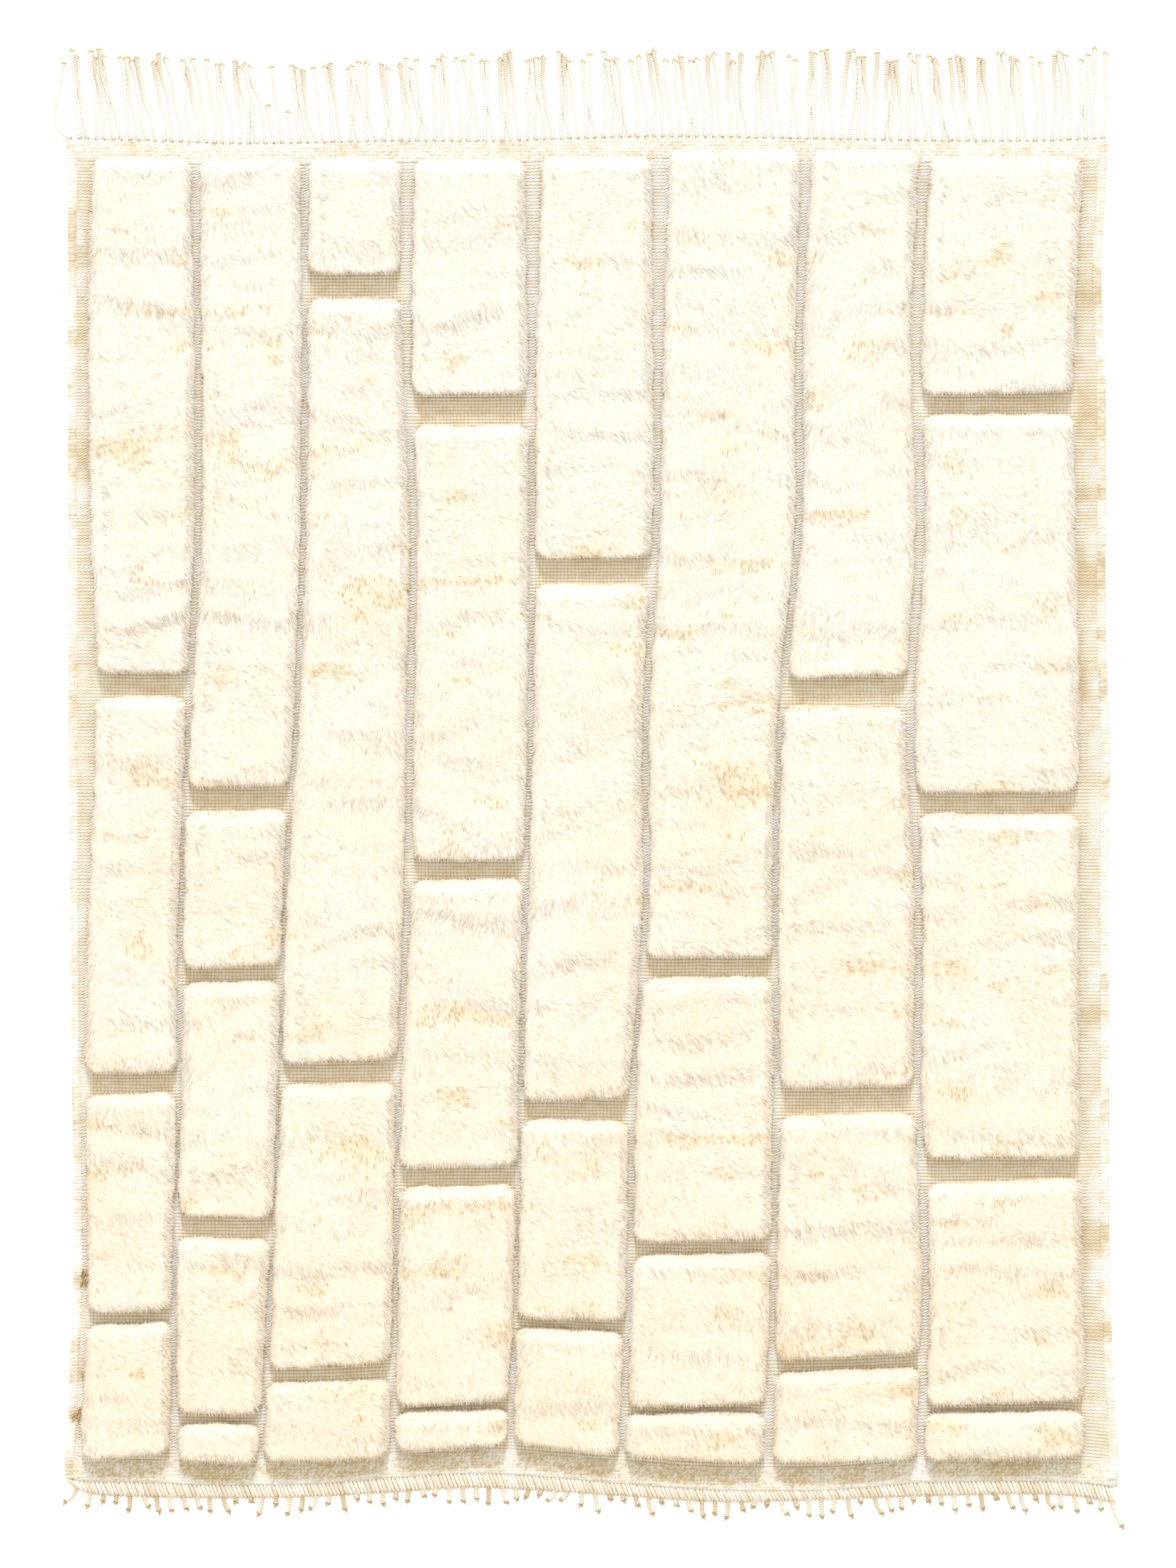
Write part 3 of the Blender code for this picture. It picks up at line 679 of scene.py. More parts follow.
def skin(rings, tips=None):
    """Points and faces of tubes round rings[tube, station, side]. Each begins with a flat
    cap and ends with another, or drawn to its own tip."""
    tubes, stations, sides = rings.shape[:3]
    number = np.arange(tubes * stations * sides).reshape(tubes, stations, sides)
    here, ahead = number[:, :-1], number[:, 1:]
    quads = np.stack([here, np.roll(here, -1, 2), np.roll(ahead, -1, 2), ahead], -1)
    faces = [quads.reshape(-1, 4), number[:, 0, ::-1].reshape(-1, sides)]
    points = rings.reshape(-1, 3)
    if tips is None:
        faces.append(number[:, -1].reshape(-1, sides))
    else:
        last = number[:, -1]
        peak = np.repeat(len(points) + np.arange(tubes)[:, None], sides, 1)
        faces.append(np.stack([last, np.roll(last, -1, 1), peak], -1).reshape(-1, 3))
        points = np.concatenate([points, tips])
    return points, faces


def gather(parts):
    """Joins several lots of points, faces, marks and perhaps normals into one."""
    faces, first = [], 0
    for points, corner_lists, *_ in parts:
        faces += [corners + first for corners in corner_lists]
        first += len(points)
    columns = list(zip(*parts))
    return (np.concatenate(columns[0]), faces, *(np.concatenate(c) for c in columns[2:]))


def unit(v):
    return v / np.maximum(np.linalg.norm(v, axis=-1, keepdims=True), 1e-9)


UP = np.array([0.0, 0.0, 1.0])
print("helpers ready")

# %% [markdown]
# ## The woven ground
# The cloth is a weft-faced weave: thick weft yarns, beaten down hard, cover the warp and
# lie side by side as ribs 5 mm apart. One closed sheet is the cloth itself. The ribs are a
# finer skin over it, only where they show, because most of the ground lies under pile.

# %% Where the cloth lies, and how much pile covers a place
CLOTH_TOP = 5.0
CLOTH_LOW, CLOTH_HIGH = -1075.0, 990.0  # about where the cloth begins and ends along the rug
CLOTH_WIDE = 1606.0
HEADING_DEEP = 9.0
ENDS_BEND = 6  # a high power, so that only the rows near an end follow its wavy line
LIFT, LIFT_REACH, LIFT_WAVE = 5.0, 14.0, 17.0  # how high, how far in, and how soon it changes


def edge_lift(x, y):
    """How far the cloth rises off the floor: its long edges were drawn up in weaving."""
    left, right = column_of(SIDE_EDGES, "left", y), column_of(SIDE_EDGES, "right", y)
    near = np.exp(-np.minimum(x - left, right - x) / LIFT_REACH)
    side = np.where(x < 0, 3.0, 11.0)  # any two places far apart in the table of chance
    wave = 0.5 + 0.5 * np.sin(y / LIFT_WAVE + 2.2 * drift(side, y, 1.0, 120.0, 3))
    return LIFT * near * wave * (0.5 + 0.5 * drift(side, y, 1.0, 90.0, 4))


def heading_line(x):
    """Where the cloth ends and the twined heading begins."""
    return top_line(x) - HEADING_DEEP


def across_gap(x, y):
    """How far inside a column's rims a place lies, in millimetres, or less than 0."""
    columns = range(1, len(COLUMN_ENDS) + 1)
    rims = [(rim_of(column, "left", y), rim_of(column, "right", y)) for column in columns]
    return np.max([np.minimum(x - left, right - x) for left, right in rims], 0)


def cover(x, y):
    """How deep inside a block of pile a place lies, in millimetres, or less than 0."""
    deepest = np.full(np.shape(x), -99.0)
    for block in BLOCKS:
        left, right = rim_of(block.column, "left", y), rim_of(block.column, "right", y)
        share = np.clip((x - left) / (right - left), 0, 1)
        top = mix(block.top_left, block.top_right, share)
        bottom = mix(block.bottom_left, block.bottom_right, share)
        inside = np.minimum(np.minimum(x - left, right - x), np.minimum(top - y, y - bottom))
        deepest = np.maximum(deepest, inside)
    return deepest


print("cover in a channel, mm:", float(cover(np.array([-605.0]), np.array([396.0]))[0]))


# %% The cloth as one closed sheet
def cloth_grid(columns, rows):
    """Places all over the cloth: shares across and along, bent to its outline."""
    across = np.linspace(0, 1, columns)[:, None] * np.ones(rows)
    along = np.linspace(0, 1, rows)[None, :] * np.ones((columns, 1))
    rough_y = mix(CLOTH_LOW, CLOTH_HIGH, along)
    left = column_of(SIDE_EDGES, "left", rough_y)
    right = column_of(SIDE_EDGES, "right", rough_y)
    x = mix(left, right, across)
    low, high = edging_line(x) + 0.5, heading_line(x)
    y = rough_y + (low - CLOTH_LOW) * (1 - along) ** ENDS_BEND
    return x, y + (high - CLOTH_HIGH) * along**ENDS_BEND


def grid_faces(number):
    """Quads between the rows and columns of a grid of point numbers."""
    a, b, c, d = number[:-1, :-1], number[1:, :-1], number[1:, 1:], number[:-1, 1:]
    return np.stack([a, b, c, d], -1).reshape(-1, 4)


SHEET_COLUMNS, SHEET_ROWS = 46, 160
SHEET_CREST = 0.75  # the sheet has the colour of a rib's flank

x, y = cloth_grid(SHEET_COLUMNS, SHEET_ROWS)
lift = edge_lift(x, y)
upper = world(x, y, CLOTH_TOP + lift)
lower = world(x, y, lift)
points = np.concatenate([upper.reshape(-1, 3), lower.reshape(-1, 3)])
number = np.arange(x.size).reshape(x.shape)
rim = np.concatenate([number[:-1, 0], number[-1, :-1], number[:0:-1, -1], number[0, :0:-1]])
after = np.roll(rim, -1)
walls = np.stack([rim + x.size, after + x.size, after, rim], -1)
faces = [grid_faces(number), grid_faces(number)[:, ::-1] + x.size, walls]
marks = np.tile([SHEET_CREST, 0.0, 0.0], (len(points), 1))
ground = make_piece("woven_ground", points, faces, weft_wool, {"weave": marks})

# %% Where shade is painted on the long edges
EdgeShadePatch = namedtuple("EdgeShadePatch", "side along long")
EDGE_SHADE_PATCHES = (
    EdgeShadePatch("left", 856, 91),
    EdgeShadePatch("left", 690, 26),
    EdgeShadePatch("left", 496, 73),
    EdgeShadePatch("left", -765, 24),
    EdgeShadePatch("left", -913, 22),
    EdgeShadePatch("left", -974, 26),
    EdgeShadePatch("left", -1050, 50),
    EdgeShadePatch("right", 756, 60),
    EdgeShadePatch("right", 575, 82),
    EdgeShadePatch("right", 449, 28),
    EdgeShadePatch("right", 327, 72),
    EdgeShadePatch("right", 157, 72),
    EdgeShadePatch("right", -358, 33),
    EdgeShadePatch("right", -701, 50),
    EdgeShadePatch("right", -847, 30),
)


def painted_edge_shade(side, y):
    """How much shade is painted on one long edge, from 0 to 1, in tan patches."""
    patches = [p for p in EDGE_SHADE_PATCHES if p.side == side]
    return sum(np.exp(-(((y - p.along) / (p.long / 2)) ** 4)) for p in patches)


print("yellow patches", len(EDGE_SHADE_PATCHES))

# %% The ribs, where they show
RIB_PITCH = 5.1
RIB_ROWS = 4  # rows of points for each rib: groove, flank, crest, flank
RIB_HIGH = 1.1  # from groove to crest
RIB_COLUMN = 10.5  # between two points along a rib
RIB_DIVE = 1.5  # how far the skin of ribs dips under the sheet at its borders
GAP_DULLING = 0.5  # how much duller the ribs are in a cross gap
MARGIN_SHADE = 0.52  # painted shade on the ribs of the margins beside the pile, most on the edge's shade patches
HIDDEN_AT = 3.5  # mm inside a block, where the ribs dive into the sheet
BAND_TOP, BAND_BOTTOM = 40.0, 38.0  # mm of plain weave at the fringe and at the edging
BAND_LAP = 4.0  # mm of ribs that run on under the plain weave

rib_count = round((CLOTH_HIGH - CLOTH_LOW) / RIB_PITCH)
x, y = cloth_grid(round(CLOTH_WIDE / RIB_COLUMN) + 1, rib_count * RIB_ROWS + 1)
phase = (np.arange(x.shape[1]) % RIB_ROWS) / RIB_ROWS
swell = np.sin(np.pi * phase)[None, :] * np.ones((x.shape[0], 1))
# Ribs wander up and down a little, and a rib is fuller in some places than in others.
y = y + 0.7 * drift(x, y, 34, 40, 5) + 0.35 * drift(x, y, 16, 7, 6)
full = 1 + 0.25 * drift(x, y, 22, 5, 7)
deep = cover(x, y)
height = CLOTH_TOP + RIB_HIGH * swell * full + edge_lift(x, y)
height = np.where(deep > HIDDEN_AT, CLOTH_TOP - RIB_DIVE, height)
height[[0, -1], :] = CLOTH_TOP - RIB_DIVE
height[:, [0, -1]] = CLOTH_TOP - RIB_DIVE
number = np.arange(x.size).reshape(x.shape)
under_heading = top_line(x) - BAND_TOP + BAND_LAP
over_edging = edging_line(x) + BAND_BOTTOM - BAND_LAP
ribbed = (y < under_heading) & (y > over_edging)
shown = (deep <= HIDDEN_AT + 1) & ribbed
keep = shown[:-1, :-1] | shown[1:, :-1] | shown[1:, 1:] | shown[:-1, 1:]
quads = grid_faces(number)[keep.ravel()]
used, quads = np.unique(quads, return_inverse=True)
quads = quads.reshape(-1, 4)
points = world(x, y, height).reshape(-1, 3)[used]
in_gap = np.clip((across_gap(x, y) + 2) / 3, 0, 1)
# Painted shade: the margins beside the pile are painted darker, most where the edge's painted
# shade patches lie, which are called yellow here.
outside = np.maximum(rim_of(1, "left", y) - x, x - rim_of(8, "right", y))
yellow = np.where(x < 0, painted_edge_shade("left", y), painted_edge_shade("right", y))
dust_and_shade = GAP_DULLING * in_gap + MARGIN_SHADE * (1 + 0.6 * yellow) * np.clip(outside / 3, 0, 1)
# Paler from groove to crest: painted shade in the grooves.
paleness = swell * full * (1 - dust_and_shade)
marks = np.stack([paleness, 0.8 * in_gap, in_gap], -1).reshape(-1, 3)[used]
ribs = make_piece("weft_ribs", points, [quads], weft_wool, {"weave": marks})

# %% [markdown]
# ### Plain weave at both ends
# The last few centimetres are ordinary plain weave: every crossing of warp and weft is a
# small bump, and no two are alike. Real relief is needed, because the low lamp picks out
# each bump.

# %% Bands of small bumps
CROSSING = 2.6  # mm from a bump to the hollow beside it
BAND_WIDE, BAND_DEEP = 1600, 40
BUMP_HIGH = 1.5
BAND_SHADE, BUMP_SHADE, SPECKLE = 0.36, 0.4, 0.32  # from groove to crest: base, bump, chance
PEAKS, HOLLOWS = (0.55, 1.15), (0, 0.4)  # shares of a bump's height
CROSSING_JITTER = 0.5
BAND_IN = 1.0  # mm from the cloth's long edges
BLOTCH = 0.16  # of the shade, in patches
PAINTED_SHADOW = 0.3  # painted shadow of the blocks: how much less white, on the mark that runs from groove to crest
PAINTED_SHADOW_OVER, PAINTED_SHADOW_CORNER, PAINTED_SHADOW_SOFT = 6, 10, 3  # mm over the edging, where the painted shadow begins; more at a column's sides
LOWEST_UNDER = -1000  # only a column's lowest block ends under this line
DULL = 0.06  # how much less white all of the lower band is
BAND_HIGH = CLOTH_TOP + 0.9
BAND_DIVE = 1.2
UNDER_HEADING = 5.0  # the upper band ends this far under the rug's upper line


def painted_shadow_and_dulling(x, y):
    """How much tan is painted on the band as the shadow of each column's lowest block, plus an
    even dulling of all of the band.
    """
    total = 0
    for block in BLOCKS:
        if block.bottom_left < LOWEST_UNDER:
            left, right = rim_of(block.column, "left", y), rim_of(block.column, "right", y)
            share = (x - left) / (right - left)
            arch = np.clip(1 - (2 * share - 1) ** 4, 0, 1)
            over = y - edging_line(x) - PAINTED_SHADOW_OVER - PAINTED_SHADOW_CORNER * (1 - arch)
            total = total + PAINTED_SHADOW * np.sqrt(arch) * np.clip(over / PAINTED_SHADOW_SOFT, 0, 1)
    return total + DULL


def bumps_and_hollows(length):
    """How many points a length takes, so that it begins and ends with a hollow."""
    return 2 * round(length / CROSSING / 2) + 1


def weave_band(name, low, high, seed, tan):
    """A band of plain weave over the cloth, between two lines across the rug."""
    chance = np.random.default_rng(seed)
    across = np.linspace(0, 1, bumps_and_hollows(BAND_WIDE))[:, None]
    count = bumps_and_hollows(BAND_DEEP)
    along = np.linspace(0, 1, count)[None, :]
    side_y = float(high(0.0) + low(0.0)) / 2
    left = float(column_of(SIDE_EDGES, "left", side_y)) + BAND_IN
    right = float(column_of(SIDE_EDGES, "right", side_y)) - BAND_IN
    x = mix(left, right, across) + 0 * along
    y = mix(low(x), high(x), along)
    crest = (np.arange(x.shape[0])[:, None] % 2) * (np.arange(count)[None, :] % 2)
    peak, hollow = chance.uniform(*PEAKS, x.shape), chance.uniform(*HOLLOWS, x.shape)
    bump = np.where(crest, peak, hollow)
    x = x + chance.uniform(-CROSSING_JITTER, CROSSING_JITTER, x.shape)
    y = y + chance.uniform(-CROSSING_JITTER, CROSSING_JITTER, x.shape)
    z = BAND_HIGH + BUMP_HIGH * (bump - 0.3) + edge_lift(x, y)
    z[:, [0, -1]] = CLOTH_TOP - BAND_DIVE
    z[[0, -1], :] = CLOTH_TOP - BAND_DIVE
    # The hollows are painted darker than the bumps: painted shade. tan(x, y) takes off a painted
    # shadow, where there is one.
    shade = BAND_SHADE + BUMP_SHADE * bump + BLOTCH * drift(x, y, 45, 22, seed + 1)
    shade = np.clip(shade + chance.uniform(-SPECKLE, SPECKLE, x.shape) - tan(x, y), 0, 1)
    marks = np.stack([shade, x * 0 + 1, x * 0], -1).reshape(-1, 3)
    number = np.arange(x.size).reshape(x.shape)
    points = world(x, y, z).reshape(-1, 3)
    return make_piece(name, points, [grid_faces(number)], weft_wool, {"weave": marks})


def upper_band_low(x):
    return top_line(x) - BAND_TOP


def upper_band_high(x):
    return top_line(x) - UNDER_HEADING


def lower_band_high(x):
    return edging_line(x) + BAND_BOTTOM


def no_painted_shadow(x, y):
    return 0


bands = [
    # The lower band takes the blocks' painted shadow; the upper band takes none.
    weave_band("weave_top", upper_band_low, upper_band_high, 71, no_painted_shadow),
    weave_band("weave_bottom", edging_line, lower_band_high, 81, painted_shadow_and_dulling),
]

# %% [markdown]
# ## The selvedges
# Each long edge is wrapped with weft round the outermost warps, which makes a firm round
# border of short uneven stitches.

# %% Wrapped borders down both sides
SELVEDGE_WIDE = 15.0
SELVEDGE_HIGH = 8.2
WRAP_PITCH = 4.6
WRAP_SIDES = 9
WRAP_JITTER, WRAP_WANDER = 0.6, 0.5  # mm: of a whole stitch, and of each point on it
BETWEEN, ON_STITCH = 0.5, 0.75  # how far the yarn stands out between two stitches and on one
UNEVEN = (-0.6, 0.5)  # what chance adds to that
BOXY = 0.7  # a power under 1 makes the round border a little square
SELVEDGE_SEEDS = {"left": 31, "right": 32}


def selvedge(side):
    """The wrapped border down one side: one long tube that swells at each stitch."""
    chance = np.random.default_rng(SELVEDGE_SEEDS[side])
    y = np.arange(CLOTH_LOW + 3, CLOTH_HIGH, WRAP_PITCH / 2)
    y[1:-1] += chance.uniform(-WRAP_JITTER, WRAP_JITTER, len(y) - 2)
    outer = column_of(SIDE_EDGES, side, y)
    inward = 1.0 if side == "left" else -1.0
    middle = outer + inward * SELVEDGE_WIDE / 2
    turn = np.linspace(0, 2 * np.pi, WRAP_SIDES, endpoint=False)
    stitch = np.where(np.arange(len(y)) % 2, ON_STITCH, BETWEEN)[:, None]
    bulge = stitch + chance.uniform(*UNEVEN, (len(y), WRAP_SIDES))
    half_wide, half_high = SELVEDGE_WIDE / 2 - 0.6, SELVEDGE_HIGH / 2 - 0.8
    across = np.sign(np.cos(turn)) * np.abs(np.cos(turn)) ** BOXY
    x = middle[:, None] + across * (half_wide + bulge * 0.8)
    z = SELVEDGE_HIGH / 2 + np.sin(turn) * (half_high + bulge * 1.2 - 0.4)
    y = y[:, None] + chance.uniform(-WRAP_WANDER, WRAP_WANDER, x.shape)
    z = np.maximum(z, 0.0) + edge_lift(x, y)
    rings = world(x, y, z)[None]
    # Rings run up the rug, so their points go round it the other way than in X and Z.
    points, faces = skin(rings[:, :, ::-1])
    worn = drift(x * 0 + outer.mean(), y, 30, 38, 33) + 0.5 * drift(x, y, 9, 12, 34)
    # Painted shade: paler on each stitch's bulge than between the stitches, and tan on the edge's
    # painted shade patches.
    paleness = 0.26 + 0.42 * bulge + 0.3 * worn - 0.3 * painted_edge_shade(side, y)
    paleness = np.clip(paleness, 0.1, 1)[:, ::-1]
    marks = np.stack([paleness, paleness * 0 + 1, paleness * 0], -1).reshape(-1, 3)
    name = "selvedge_" + side
    return make_piece(name, points, faces, weft_wool, {"weave": marks})


selvedges = [selvedge("left"), selvedge("right")]

# %% [markdown]
# ## The cushions of pile
# Seen from a step away a block of pile is a soft cushion: full in the middle, round at its
# rims, with slow rolls across it where the rows of knots lean on each other. It is built
# as a closed, rounded box over the block's outline. The locks of wool grow on it next.

# %% The surface of a block
RIM_IN = -1.2  # the pile spreads a little past its own rows of knots
RAGGED_IN = 16  # how far in from its rim a block's outline wanders
CORNER = 20.0
BELLY, BELLY_LOW, CROWN_TOP = 12.0, 24.0, 28.0  # heights of the rims, the lower rim, the top
ROUND_TOP, ROUND_SIDES = 26.0, 18.0  # how far in from its rim a block rounds over
ROLL_HIGH, DIMPLE_HIGH = 1.5, 0.6


def rolls(x, y):
    """Slow rolls across the pile and smaller dimples, in millimetres."""
    bend = 26 * drift(x, y, 150, 190, 8)
    wide = drift(x, y + bend, 170, 30, 9)
    small = drift(x, y, 38, 17, 10)
    return ROLL_HIGH * wide + DIMPLE_HIGH * small


def belly(out_y):
    """How high a block's rim stands: highest at its lower side, where the locks hang out."""
    return mix(BELLY, BELLY_LOW, np.clip(-out_y, 0, 1))


def rounding(out_y):
    """How far in a block's rim rounds over: furthest at its upper side."""
    return mix(ROUND_SIDES, ROUND_TOP, np.clip(out_y, 0, 1))


def rounded(across, along, half_wide, half_long):
    """Bends places on a rectangle into one with round corners; also how deep in they are,
    and which way is out."""
    u = (np.abs(across) - (half_wide - CORNER)) / CORNER
    v = (np.abs(along) - (half_long - CORNER)) / CORNER
    corner = (u > 0) & (v > 0)
    uc, vc = np.where(corner, u, 0.0), np.where(corner, v, 0.0)
    reach = np.maximum(uc, vc)
    norm = np.maximum(np.hypot(uc, vc), 1e-6)
    factor = np.where(corner, reach / norm, 1.0)
    bent_across = half_wide - CORNER + uc * factor * CORNER
    bent_along = half_long - CORNER + vc * factor * CORNER
    new_across = np.where(corner, np.sign(across) * bent_across, across)
    new_along = np.where(corner, np.sign(along) * bent_along, along)
    inset = np.minimum(half_wide - np.abs(across), half_long - np.abs(along))
    out_x = np.where(corner, np.sign(across) * uc / norm, np.sign(across) * (u >= v))
    out_y = np.where(corner, np.sign(along) * vc / norm, np.sign(along) * (v > u))
    return new_across, new_along, inset, out_x, out_y


def spans(block):
    """How wide and how long a block is between its outer knots."""
    middle_y = (block.top_left + block.bottom_left) / 2
    wide = rim_of(block.column, "right", middle_y) - rim_of(block.column, "left", middle_y)
    long = (block.top_left + block.top_right - block.bottom_left - block.bottom_right) / 2
    return wide, long


def half_sizes(block):
    """From a block's middle to the rims of its pile."""
    wide, long = spans(block)
    return wide / 2 - RIM_IN, long / 2 - RIM_IN


def surface(block, across, along, sink=0.0):
    """Places on a block's cushion from millimetres across and along its middle: where they
    are, how deep in from its rim, and which way is out."""
    wide, long = spans(block)
    a, b, inset, out_x, out_y = rounded(across, along, *half_sizes(block))
    s, t = a / wide + 0.5, b / long + 0.5
    low = mix(block.bottom_left, block.bottom_right, s)
    y = mix(low, mix(block.top_left, block.top_right, s), t)
    x = mix(rim_of(block.column, "left", y), rim_of(block.column, "right", y), s)
    near = np.exp(-np.maximum(inset, 0) / RAGGED_IN)
    ragged = 2.0 * drift(x, y, 23, 23, 12) + 1.2 * drift(x, y, 9, 9, 13)
    x, y = x + out_x * ragged * near, y + out_y * ragged * near
    fall = 1 - np.clip(inset / rounding(out_y), 0, 1)
    dome = np.sqrt(np.clip(1 - fall**2, 0, 1))
    z = mix(belly(out_y), CROWN_TOP, dome) + rolls(x, y) * dome - sink
    return x, y, z, inset, out_x, out_y


print("first block, mm:", [round(float(2 * h)) for h in half_sizes(BLOCKS[0])])

# %% Which way the pile faces, and where crevice shade is painted
# How much of a block's round rim its shading shows: at its sides, top and bottom.
FAN_SIDES, FAN_TOP, FAN_BOTTOM = 0.15, 1.5, 0.3
ROLLS_SHOWN = 0.4  # and how much of its rolls
STEEPEST = 2.2


def steepness(inset, out_y):
    """How steeply a block falls towards its rim, from how deep inside it a place lies."""
    fall = 1 - np.clip(inset / rounding(out_y), 0.03, 1)
    slope = (CROWN_TOP - belly(out_y)) * fall / (rounding(out_y) * np.sqrt(1 - fall**2))
    return np.minimum(slope, STEEPEST)


def facing(x, y, inset, out_x, out_y, tilt=(0, 0)):
    """Which way the pile faces. The fibres of a rim fan out, so their shading turns less
    than the surface does."""
    slope = steepness(inset, out_y)
    roll_x = ROLLS_SHOWN * (rolls(x + 2, y) - rolls(x - 2, y)) / 4
    roll_y = ROLLS_SHOWN * (rolls(x, y + 2) - rolls(x, y - 2)) / 4
    lean_x = out_x * slope * FAN_SIDES - roll_x + tilt[0]
    lean_y = out_y * slope * np.where(out_y > 0, FAN_TOP, FAN_BOTTOM) - roll_y + tilt[1]
    return unit(np.stack([lean_x, lean_y, x * 0 + 1], -1))


def painted_crevices(x, y):
    """Where tan crevices are painted in as shade, most in the hollows of the rolls: 0 nowhere, 1
    most.
    """
    patchy = 1.9 * drift(x, y, 70, 26, 17) + 0.5 * drift(x, y, 9, 7, 18)
    return np.clip(patchy - 0.5 * rolls(x, y) / ROLL_HIGH - 1.0, 0, 1)


print("painted_crevice_spots, share:", round(float(np.mean(painted_crevices(*np.mgrid[-700:700:9, -900:900:9]) > 0)), 3))

# %% A closed cushion for each block
NEAR_RIM = (0.0, 2.0, 5.0, 9.0, 14.0)  # rows of points close together where it rounds over
SHOULDER, CUSHION_STEP = 20.0, 10.5  # and from here on far apart
FOOT_IN, FOOT_HIGH = 4.0, 4.0
SKIN_SHADE = 0.38  # the skin's place on a lock's way from root to tip
SKIN_LUCK = 0.6
CREVICE_SHADE = 0.12  # how much nearer the tan root the skin is painted in the crevices: painted shade


def rows_across(half):
    """Places from rim to rim."""
    inner = evenly(-half + SHOULDER, half - SHOULDER, CUSHION_STEP)
    return np.array([-half + n for n in NEAR_RIM] + inner + [half - n for n in NEAR_RIM[::-1]])


def cushion(block):
    """The closed skin of one block, with its marks and the way that its shading faces."""
    half_wide, half_long = half_sizes(block)
    across, along = np.meshgrid(rows_across(half_wide), rows_across(half_long), indexing="ij")
    x, y, z, inset, out_x, out_y = surface(block, across, along)
    number = np.arange(x.size).reshape(x.shape)
    rim = np.concatenate([number[:-1, 0], number[-1, :-1], number[:0:-1, -1], number[0, :0:-1]])
    foot_x = (x - out_x * FOOT_IN).ravel()[rim]
    foot_y = (y - out_y * FOOT_IN).ravel()[rim]
    points = np.concatenate([world(x, y, z).reshape(-1, 3), world(foot_x, foot_y, FOOT_HIGH)])
    foot = x.size + np.arange(len(rim))
    walls = np.stack([foot, np.roll(foot, -1), np.roll(rim, -1), rim], -1)
    faces = [grid_faces(number), walls, foot[None, ::-1]]
    shade = facing(x, y, inset, out_x, out_y).reshape(-1, 3)
    normals = np.concatenate([shade, shade[rim]])
    depth = SKIN_SHADE - CREVICE_SHADE * painted_crevices(x, y).ravel()
    depth = np.concatenate([depth, depth[rim]])
    marks = np.stack([depth * 0 + SKIN_LUCK, depth, depth * 0], -1)
    return points, faces, marks, normals


points, faces, marks, normals = gather([cushion(block) for block in BLOCKS])
cushions = make_piece(
    "pile_cushions", points, faces, pile_wool, {"lock": marks}, normals
)

# %% [markdown]
# ## The locks of wool
# The pile is long, soft and combed by use: its locks lie over, mostly down the rug, and
# spill outwards at the rims of a block. Each lock is a slim three-sided spike, thick where
# it leaves the knot and thin at its tip. About a hundred thousand of them stand on the
# cushions, in a jittered grid, and neighbours lean alike.

# %% How the pile lies
POINTING = -52  # degrees from X, seen from above: mostly down the rug
LOCK_PITCH = 5.48
LOCK_LONG = (14.0, 23.0)
LOCK_WIDE = (1.7, 2.9)
LOCK_RISE = (1.5, 5.0)  # degrees over the cushion's skin
RIDGE = 0.1  # height of a lock's ridge, as a share of half its width
SUNK = 0.9  # the root of a lock lies this far under the cushion's skin
OVERHANG = 5.0  # how far a lock may reach out past the rim of its block
ROUND_OVER = 0.08  # how round a lock looks across its width
TILT = 0.035  # how differently neighbouring locks face
HEADINGS = 0.22  # and point
SPILL_IN, SPILL = 13.0, 1.1  # how far in from a rim locks turn outwards, and how strongly
STEEPEST_LOCK = 1.6
COMBED_TONE = (0.3, 1.0)  # a lock's marks along it, at its root and at its tip
CREVICE_TONE = (0.0, 0.12)
CREVICE_SHARE, CREVICE_LONG, CREVICE_WIDE = 0.5, 6.5, 1.5  # short tan tufts: painted shade in the crevices
CREVICE_UP = 2.6


def flow_angle(x, y):
    """Which way the locks point, seen from above, in radians from X."""
    slow = 0.9 * drift(x, y, 210, 150, 14)
    swirl = 0.55 * drift(x, y, 60, 40, 15)
    clump = 0.45 * drift(x, y, 17, 13, 16)
    return math.radians(POINTING) + slow + swirl + clump


def spikes(x, y, z, heading, rise, long, wide, luck, along, shade=None):
    """Many three-sided spikes at once, from their roots, headings and sizes. With shade,
    the way that the pile under each one faces, they take that for most of their shading."""
    flat = np.cos(rise)
    ahead = np.stack([flat * np.cos(heading), flat * np.sin(heading), np.sin(rise)], -1)
    side = unit(np.cross(UP, ahead))
    normal = np.cross(ahead, side)
    root = world(x, y, z)
    half = (wide / 2 * MM)[:, None]
    ring = np.stack([root + side * half, root + normal * half * RIDGE, root - side * half], 1)
    tips = root + ahead * (long * MM)[:, None]
    points, faces = skin(ring[:, None], tips)
    at_root, at_tip = (np.stack([luck, mark + 0 * luck, 0 * luck], -1) for mark in along)
    marks = np.concatenate([np.repeat(at_root, 3, 0), at_tip])
    if shade is None:
        return points, faces, marks
    round_over = [unit(shade + side * across * ROUND_OVER) for across in (1, 0, -1)]
    normals = np.concatenate([np.stack(round_over, 1).reshape(-1, 3), shade])
    return points, faces, marks, normals


